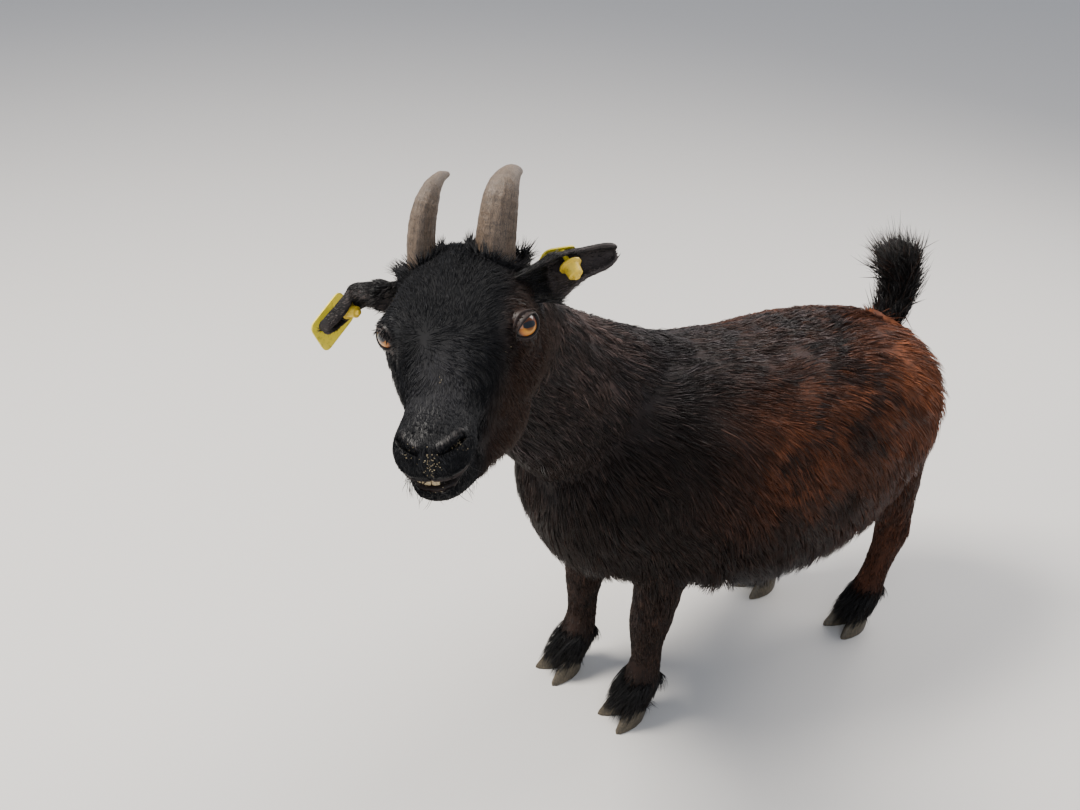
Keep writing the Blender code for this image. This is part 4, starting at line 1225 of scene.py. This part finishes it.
# The middle of each horn from its root to its tip, in head places.
HORN_X = (-0.044, -0.058, -0.070, -0.083, -0.097, -0.109)
HORN_Y = {
    "left": (0.024, 0.026, 0.031, 0.035, 0.039, 0.042),
    "right": (-0.033, -0.031, -0.026, -0.020, -0.015, -0.012),
}
HORN_Z = {
    "left": (-0.030, 0.004, 0.027, 0.039, 0.040, 0.034),
    "right": (-0.030, 0.004, 0.027, 0.039, 0.041, 0.036),
}
HORN_LINE = {side: np.stack([HORN_X, HORN_Y[side], HORN_Z[side]], 1) for side in HORN_Y}
HORN_SLIM = {"left": 0.15, "right": 0.45}  # how much thinner the tip is worn
RING_GAP = 0.0085


def horn_material():
    """Weathered grey-tan horn: fine fibres and nicks along it, darker rings across, smooth and paler at the tip."""
    mat, tree, shader = new_material("weathered horn")
    grow = attribute(tree, "grow", "Vector")
    fibre = noise(tree, scaled(tree, grow, 2600, 2600, 90), 1.0, 5.0, 0.65)
    fleck = noise(tree, scaled(tree, grow, 900, 900, 260), 1.0, 4.0, 0.7)
    ring = noise(tree, scaled(tree, grow, 60, 60, 520), 1.0, 3.0, 0.55)
    base = ramp(tree, fibre, (
        (0.28, (0.016, 0.010, 0.006)), (0.50, (0.098, 0.066, 0.042)), (0.72, (0.215, 0.152, 0.102))
    ))
    dark = ramp(tree, fleck, ((0.34, (0.30, 0.28, 0.27)), (0.50, 1)))
    bands = ramp(tree, ring, ((0.38, (0.72, 0.70, 0.68)), (0.55, (1.08, 1.06, 1.04))))
    tip = ramp(tree, attribute(tree, "tip", "Fac"), ((0.70, 0), (0.97, 0.65)))
    color = mix(tree, 0.8, mix(tree, 1.0, base, dark, "MULTIPLY"), bands, "MULTIPLY")
    finish(shader, mix(tree, tip, color, (0.18, 0.135, 0.098)), 0.52)
    bump(tree, shader, mix(tree, 0.5, fibre, ring), 0.7, 0.0012)
    return mat


def make_horn(side, mat):
    """A horn's sheath with low rings and furrows, worn smooth and thinner at its tip."""
    line = HORN_LINE[side]
    horn = copied([f"horn_{side}"], f"horn_{side}_sheath")
    applied(horn, "SUBSURF", levels=3, render_levels=3)
    at = head_place(points_of(horn))
    share = np.zeros(len(at))
    nearest = np.full(len(at), 9.0)
    fine = along_line(line, np.linspace(0, 1, 61))
    lengths = np.concatenate([[0], np.cumsum(np.linalg.norm(np.diff(fine, axis=0), axis=1))])
    for length, spot in zip(lengths, fine):
        away = np.linalg.norm(at - spot, axis=1)
        closer = away < nearest
        share[closer], nearest[closer] = length, away[closer]
    tip = share / lengths[-1]
    middle = along_line(line, np.searchsorted(lengths, share) / (len(fine) - 1))
    out = unit(at - middle)
    turn = np.arctan2(out[:, 1], out[:, 0])
    ridge = 0.00010 * np.sin(share * 2 * math.pi / RING_GAP + np.sin(turn) * 1.2) + 0.00005 * np.sin(share * 1150)
    furrow = 0.00022 * np.sin(turn * 9 + 2 * np.sin(share * 60)) + 0.00014 * np.sin(turn * 17 + 1.0)
    at += out * ((ridge + furrow) * step(0.95, 0.55, tip) - 0.0003)[:, None]
    at += (middle - at) * (HORN_SLIM[side] * step(0.60, 1.0, tip))[:, None]
    set_points(horn, world_place(at))
    put(horn, "grow", np.stack([out[:, 0] * nearest, out[:, 1] * nearest, share], 1))
    put(horn, "tip", tip)
    only(horn)
    bpy.ops.object.shade_smooth()
    paint(horn, mat)
    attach(horn, "root")
    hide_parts(f"horn_{side}")


horn_look = horn_material()
for side in HORN_LINE:
    make_horn(side, horn_look)


def claw_material():
    """Olive-brown hoof horn with fibres down it and soft rings across."""
    mat, tree, shader = new_material("olive hoof horn")
    place = object_place(tree)
    fibre = noise(tree, scaled(tree, place, 900, 900, 120), 1.0, 5.0, 0.6)
    ring = noise(tree, scaled(tree, place, 60, 60, 700), 1.0, 2.0, 0.5)
    base = ramp(tree, fibre, (
        (0.30, (0.020, 0.015, 0.009)), (0.55, (0.075, 0.058, 0.034)), (0.75, (0.15, 0.118, 0.072))
    ))
    bands = ramp(tree, ring, ((0.35, (0.6, 0.6, 0.58)), (0.6, 1.1)))
    finish(shader, mix(tree, 0.7, base, bands, "MULTIPLY"), 0.55)
    bump(tree, shader, mix(tree, 0.5, fibre, ring), 0.6, 0.0010)
    return mat


claw_look = claw_material()
for leg in LEGS:
    end, side = leg.split("_")[1:]
    for half in ("left", "right"):
        label = f"hoof_{end}_{side}_{half}_claw"
        claw = copied([label], label + "_horn")
        bevelled(claw, 0.0016, 3, 35)
        bpy.ops.object.shade_smooth()
        paint(claw, claw_look)
        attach(claw, "root")
        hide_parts(label)

# ---------------- teeth

TEETH = ((-0.0140, 0.0078), (-0.0064, 0.0070), (0.0002, 0.0058))  # each one's place across and its width
TOOTH_THICK, TOOTH_TALL = 0.0044, 0.0078
TEETH_FRONT = 0.1288


def make_teeth():
    """The lower front teeth that the parted lips show, set on a curve behind the lower lip."""
    mat, tree, shader = new_material("tooth enamel")
    stain = noise(tree, object_place(tree), 420, 4.0)
    finish(shader, ramp(tree, stain, ((0.35, (0.36, 0.25, 0.12)), (0.65, (0.56, 0.44, 0.26)))), 0.3)
    made = []
    for across, wide in TEETH:
        bpy.ops.mesh.primitive_cube_add(size=1)
        tooth = bpy.context.object
        in_edit(tooth, bpy.ops.mesh.subdivide, number_cuts=3)
        shape = points_of(tooth)
        top = shape[:, 2] + 0.5
        shape[:, 0] *= TOOTH_THICK * (1 - 0.5 * top)
        shape[:, 1] *= wide * (0.72 + 0.27 * top**0.5)
        shape[:, 2] = shape[:, 2] * TOOTH_TALL - 0.0006 * np.abs(shape[:, 1] / wide * 2) ** 3
        away = across + shape[:, 1]
        shape[:, 0] -= 13 * away**2 + 2.5e4 * away**4 - TEETH_FRONT
        shape[:, 1] += across
        shape[:, 2] += MOUTH_LEVEL - LIP_GAP - 0.06 * (shape[:, 1] + 0.005)
        set_points(tooth, world_place(shape))
        applied(tooth, "SUBSURF", levels=2, render_levels=2)
        made.append(tooth)
    teeth = joined(*made)
    bpy.ops.object.shade_smooth()
    teeth.name = teeth.data.name = "lower_teeth"
    paint(teeth, mat)
    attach(teeth, "root")


make_teeth()

# ---------------- crumbs of feed on the nose and lip

# Each spot's place, how far the crumbs lie about it, and how many there are.
CRUMB_SPOTS = (
    (0.131, 0.002, -0.034, 0.007, 60),
    (0.124, -0.004, -0.061, 0.009, 60),
    (0.120, 0.020, -0.028, 0.005, 26),
    (0.132, -0.014, -0.022, 0.006, 16),
    (0.075, 0.004, -0.002, 0.004, 4),
    (0.027, 0.040, -0.031, 0.005, 12),
)
CRUMB_FACES = [(a, b, c) if (a + b + c) % 2 else (a, c, b) for a in (0, 1) for b in (2, 3) for c in (4, 5)]
CRUMB_SIZE = (0.00016, 0.00044)


def crumbs():
    """Small straw and grit crumbs between the nostrils, on the lower lip and by the inner corner of the eye."""
    vertices, faces = [], []
    for x, y, z, reach, count in CRUMB_SPOTS:
        for _ in range(count):
            near = world_place(vec(x, y, z) + chance.normal(0, reach * 0.5, 3))
            where, normal, _, _ = SKIN_TREE.find_nearest(near)
            size = chance.uniform(*CRUMB_SIZE)
            turn = np.linalg.qr(chance.normal(size=(3, 3)))[0]
            faces += [[len(vertices) + k for k in face] for face in CRUMB_FACES]
            for axis, stretch in zip(turn, (1.7, 0.8, 0.8)):
                for sign in (-1, 1):
                    vertices.append(np.array(where) + np.array(normal) * 0.0004 + axis * sign * size * stretch)
    mat, tree, shader = new_material("straw crumbs")
    pick = noise(tree, object_place(tree), 700, 2.0)
    finish(shader, ramp(tree, pick, ((0.35, (0.15, 0.11, 0.055)), (0.6, (0.44, 0.36, 0.22)))), 0.8)
    data = bpy.data.meshes.new("nose_crumbs")
    data.from_pydata(vertices, [], faces)
    made = in_scene("nose_crumbs", data)
    paint(made, mat)
    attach(made, "root")


crumbs()

# ---------------- ear tags


def tag_material(name, color, rough):
    """Moulded plastic with grime and scuffs."""
    mat, tree, shader = new_material(name)
    place = object_place(tree)
    clean = tuple(min(c * 1.08, 1) for c in color)
    dirty = tuple(c * 0.55 for c in color)
    grime = ramp(tree, noise(tree, place, 240, 5.0, 0.65), ((0.30, dirty), (0.46, color), (0.75, clean)))
    scuff = ramp(tree, noise(tree, place, 900, 3.0), ((0.3, rough), (0.8, rough + 0.25)))
    finish(shader, grime, scuff)
    bump(tree, shader, noise(tree, place, 1500, 3.0), 0.25, 0.0003)
    return mat


tag_looks = {
    "plate": tag_material("yellow tag plastic", (0.78, 0.62, 0.030), 0.38),
    "button": tag_material("orange yellow stud plastic", (0.74, 0.50, 0.035), 0.40),
}
for side in ("left", "right"):
    for kind, mat in tag_looks.items():
        label = f"tag_{side}_{kind}"
        tag = copied([label], label + "_moulded")
        bevelled(tag, 0.0003, 2, 40)
        bpy.ops.object.shade_smooth_by_angle(angle=math.radians(35))
        paint(tag, mat)
        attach(tag, "root")
        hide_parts(label)

# ---------------- floor, light and camera

LIGHTS = (  # name, place, size, power and colour
    ("key", (-1.2, 0.9, 2.6), 1.0, 150, (1.0, 0.95, 0.88)),
    ("fill", (-1.6, -1.6, 1.2), 1.6, 22, (0.92, 0.96, 1.0)),
    ("back", (1.6, 0.2, 1.7), 1.2, 42, (1.0, 0.95, 0.90)),
)
LIT_SPOT = Vector((0, 0, 0.4))
FLOOR_SIZE, FLOOR_AT = 16, (0.4, 0.6, 0)
LENS, FILM_WIDTH = 38, 36  # millimetres
CAMERA_AT = (-0.68175, -0.7425, 0.975)
CAMERA_TURN, CAMERA_HEIGHT, CAMERA_ROLL = (math.radians(angle) for angle in (-34.1, 29.9, 2.5))


def studio():
    bpy.ops.mesh.primitive_plane_add(size=FLOOR_SIZE, location=FLOOR_AT)
    floor = bpy.context.object
    floor.name = "floor"
    mat, _, shader = new_material("pale floor")
    finish(shader, (0.62, 0.60, 0.57), 0.9)
    paint(floor, mat)
    world = bpy.data.worlds.new("studio")
    bpy.context.scene.world = world
    world.use_nodes = True
    sky = world.node_tree.nodes["Background"]
    feed(sky, "Color", (0.80, 0.86, 1.0))
    feed(sky, "Strength", 0.62)
    for name, place, size, power, color in LIGHTS:
        light = bpy.data.lights.new(name, "AREA")
        light.size, light.energy, light.color = size, power, color
        lamp = in_scene(name, light)
        lamp.location = place
        lamp.rotation_euler = (LIT_SPOT - Vector(place)).to_track_quat("-Z", "Y").to_euler()


def camera():
    level = math.cos(CAMERA_HEIGHT)
    back = Vector((math.sin(CAMERA_TURN) * level, -math.cos(CAMERA_TURN) * level, math.sin(CAMERA_HEIGHT)))
    right = Vector((0, 0, 1)).cross(back).normalized()
    up = back.cross(right)
    cos, sin = math.cos(CAMERA_ROLL), math.sin(CAMERA_ROLL)
    right, up = right * cos + up * sin, up * cos - right * sin
    data = bpy.data.cameras.new("camera")
    data.lens, data.sensor_width = LENS, FILM_WIDTH
    made = in_scene("camera", data)
    place = Matrix((right, up, back)).transposed().to_4x4()
    place.translation = CAMERA_AT
    made.matrix_world = place
    bpy.context.scene.camera = made


studio()
camera()
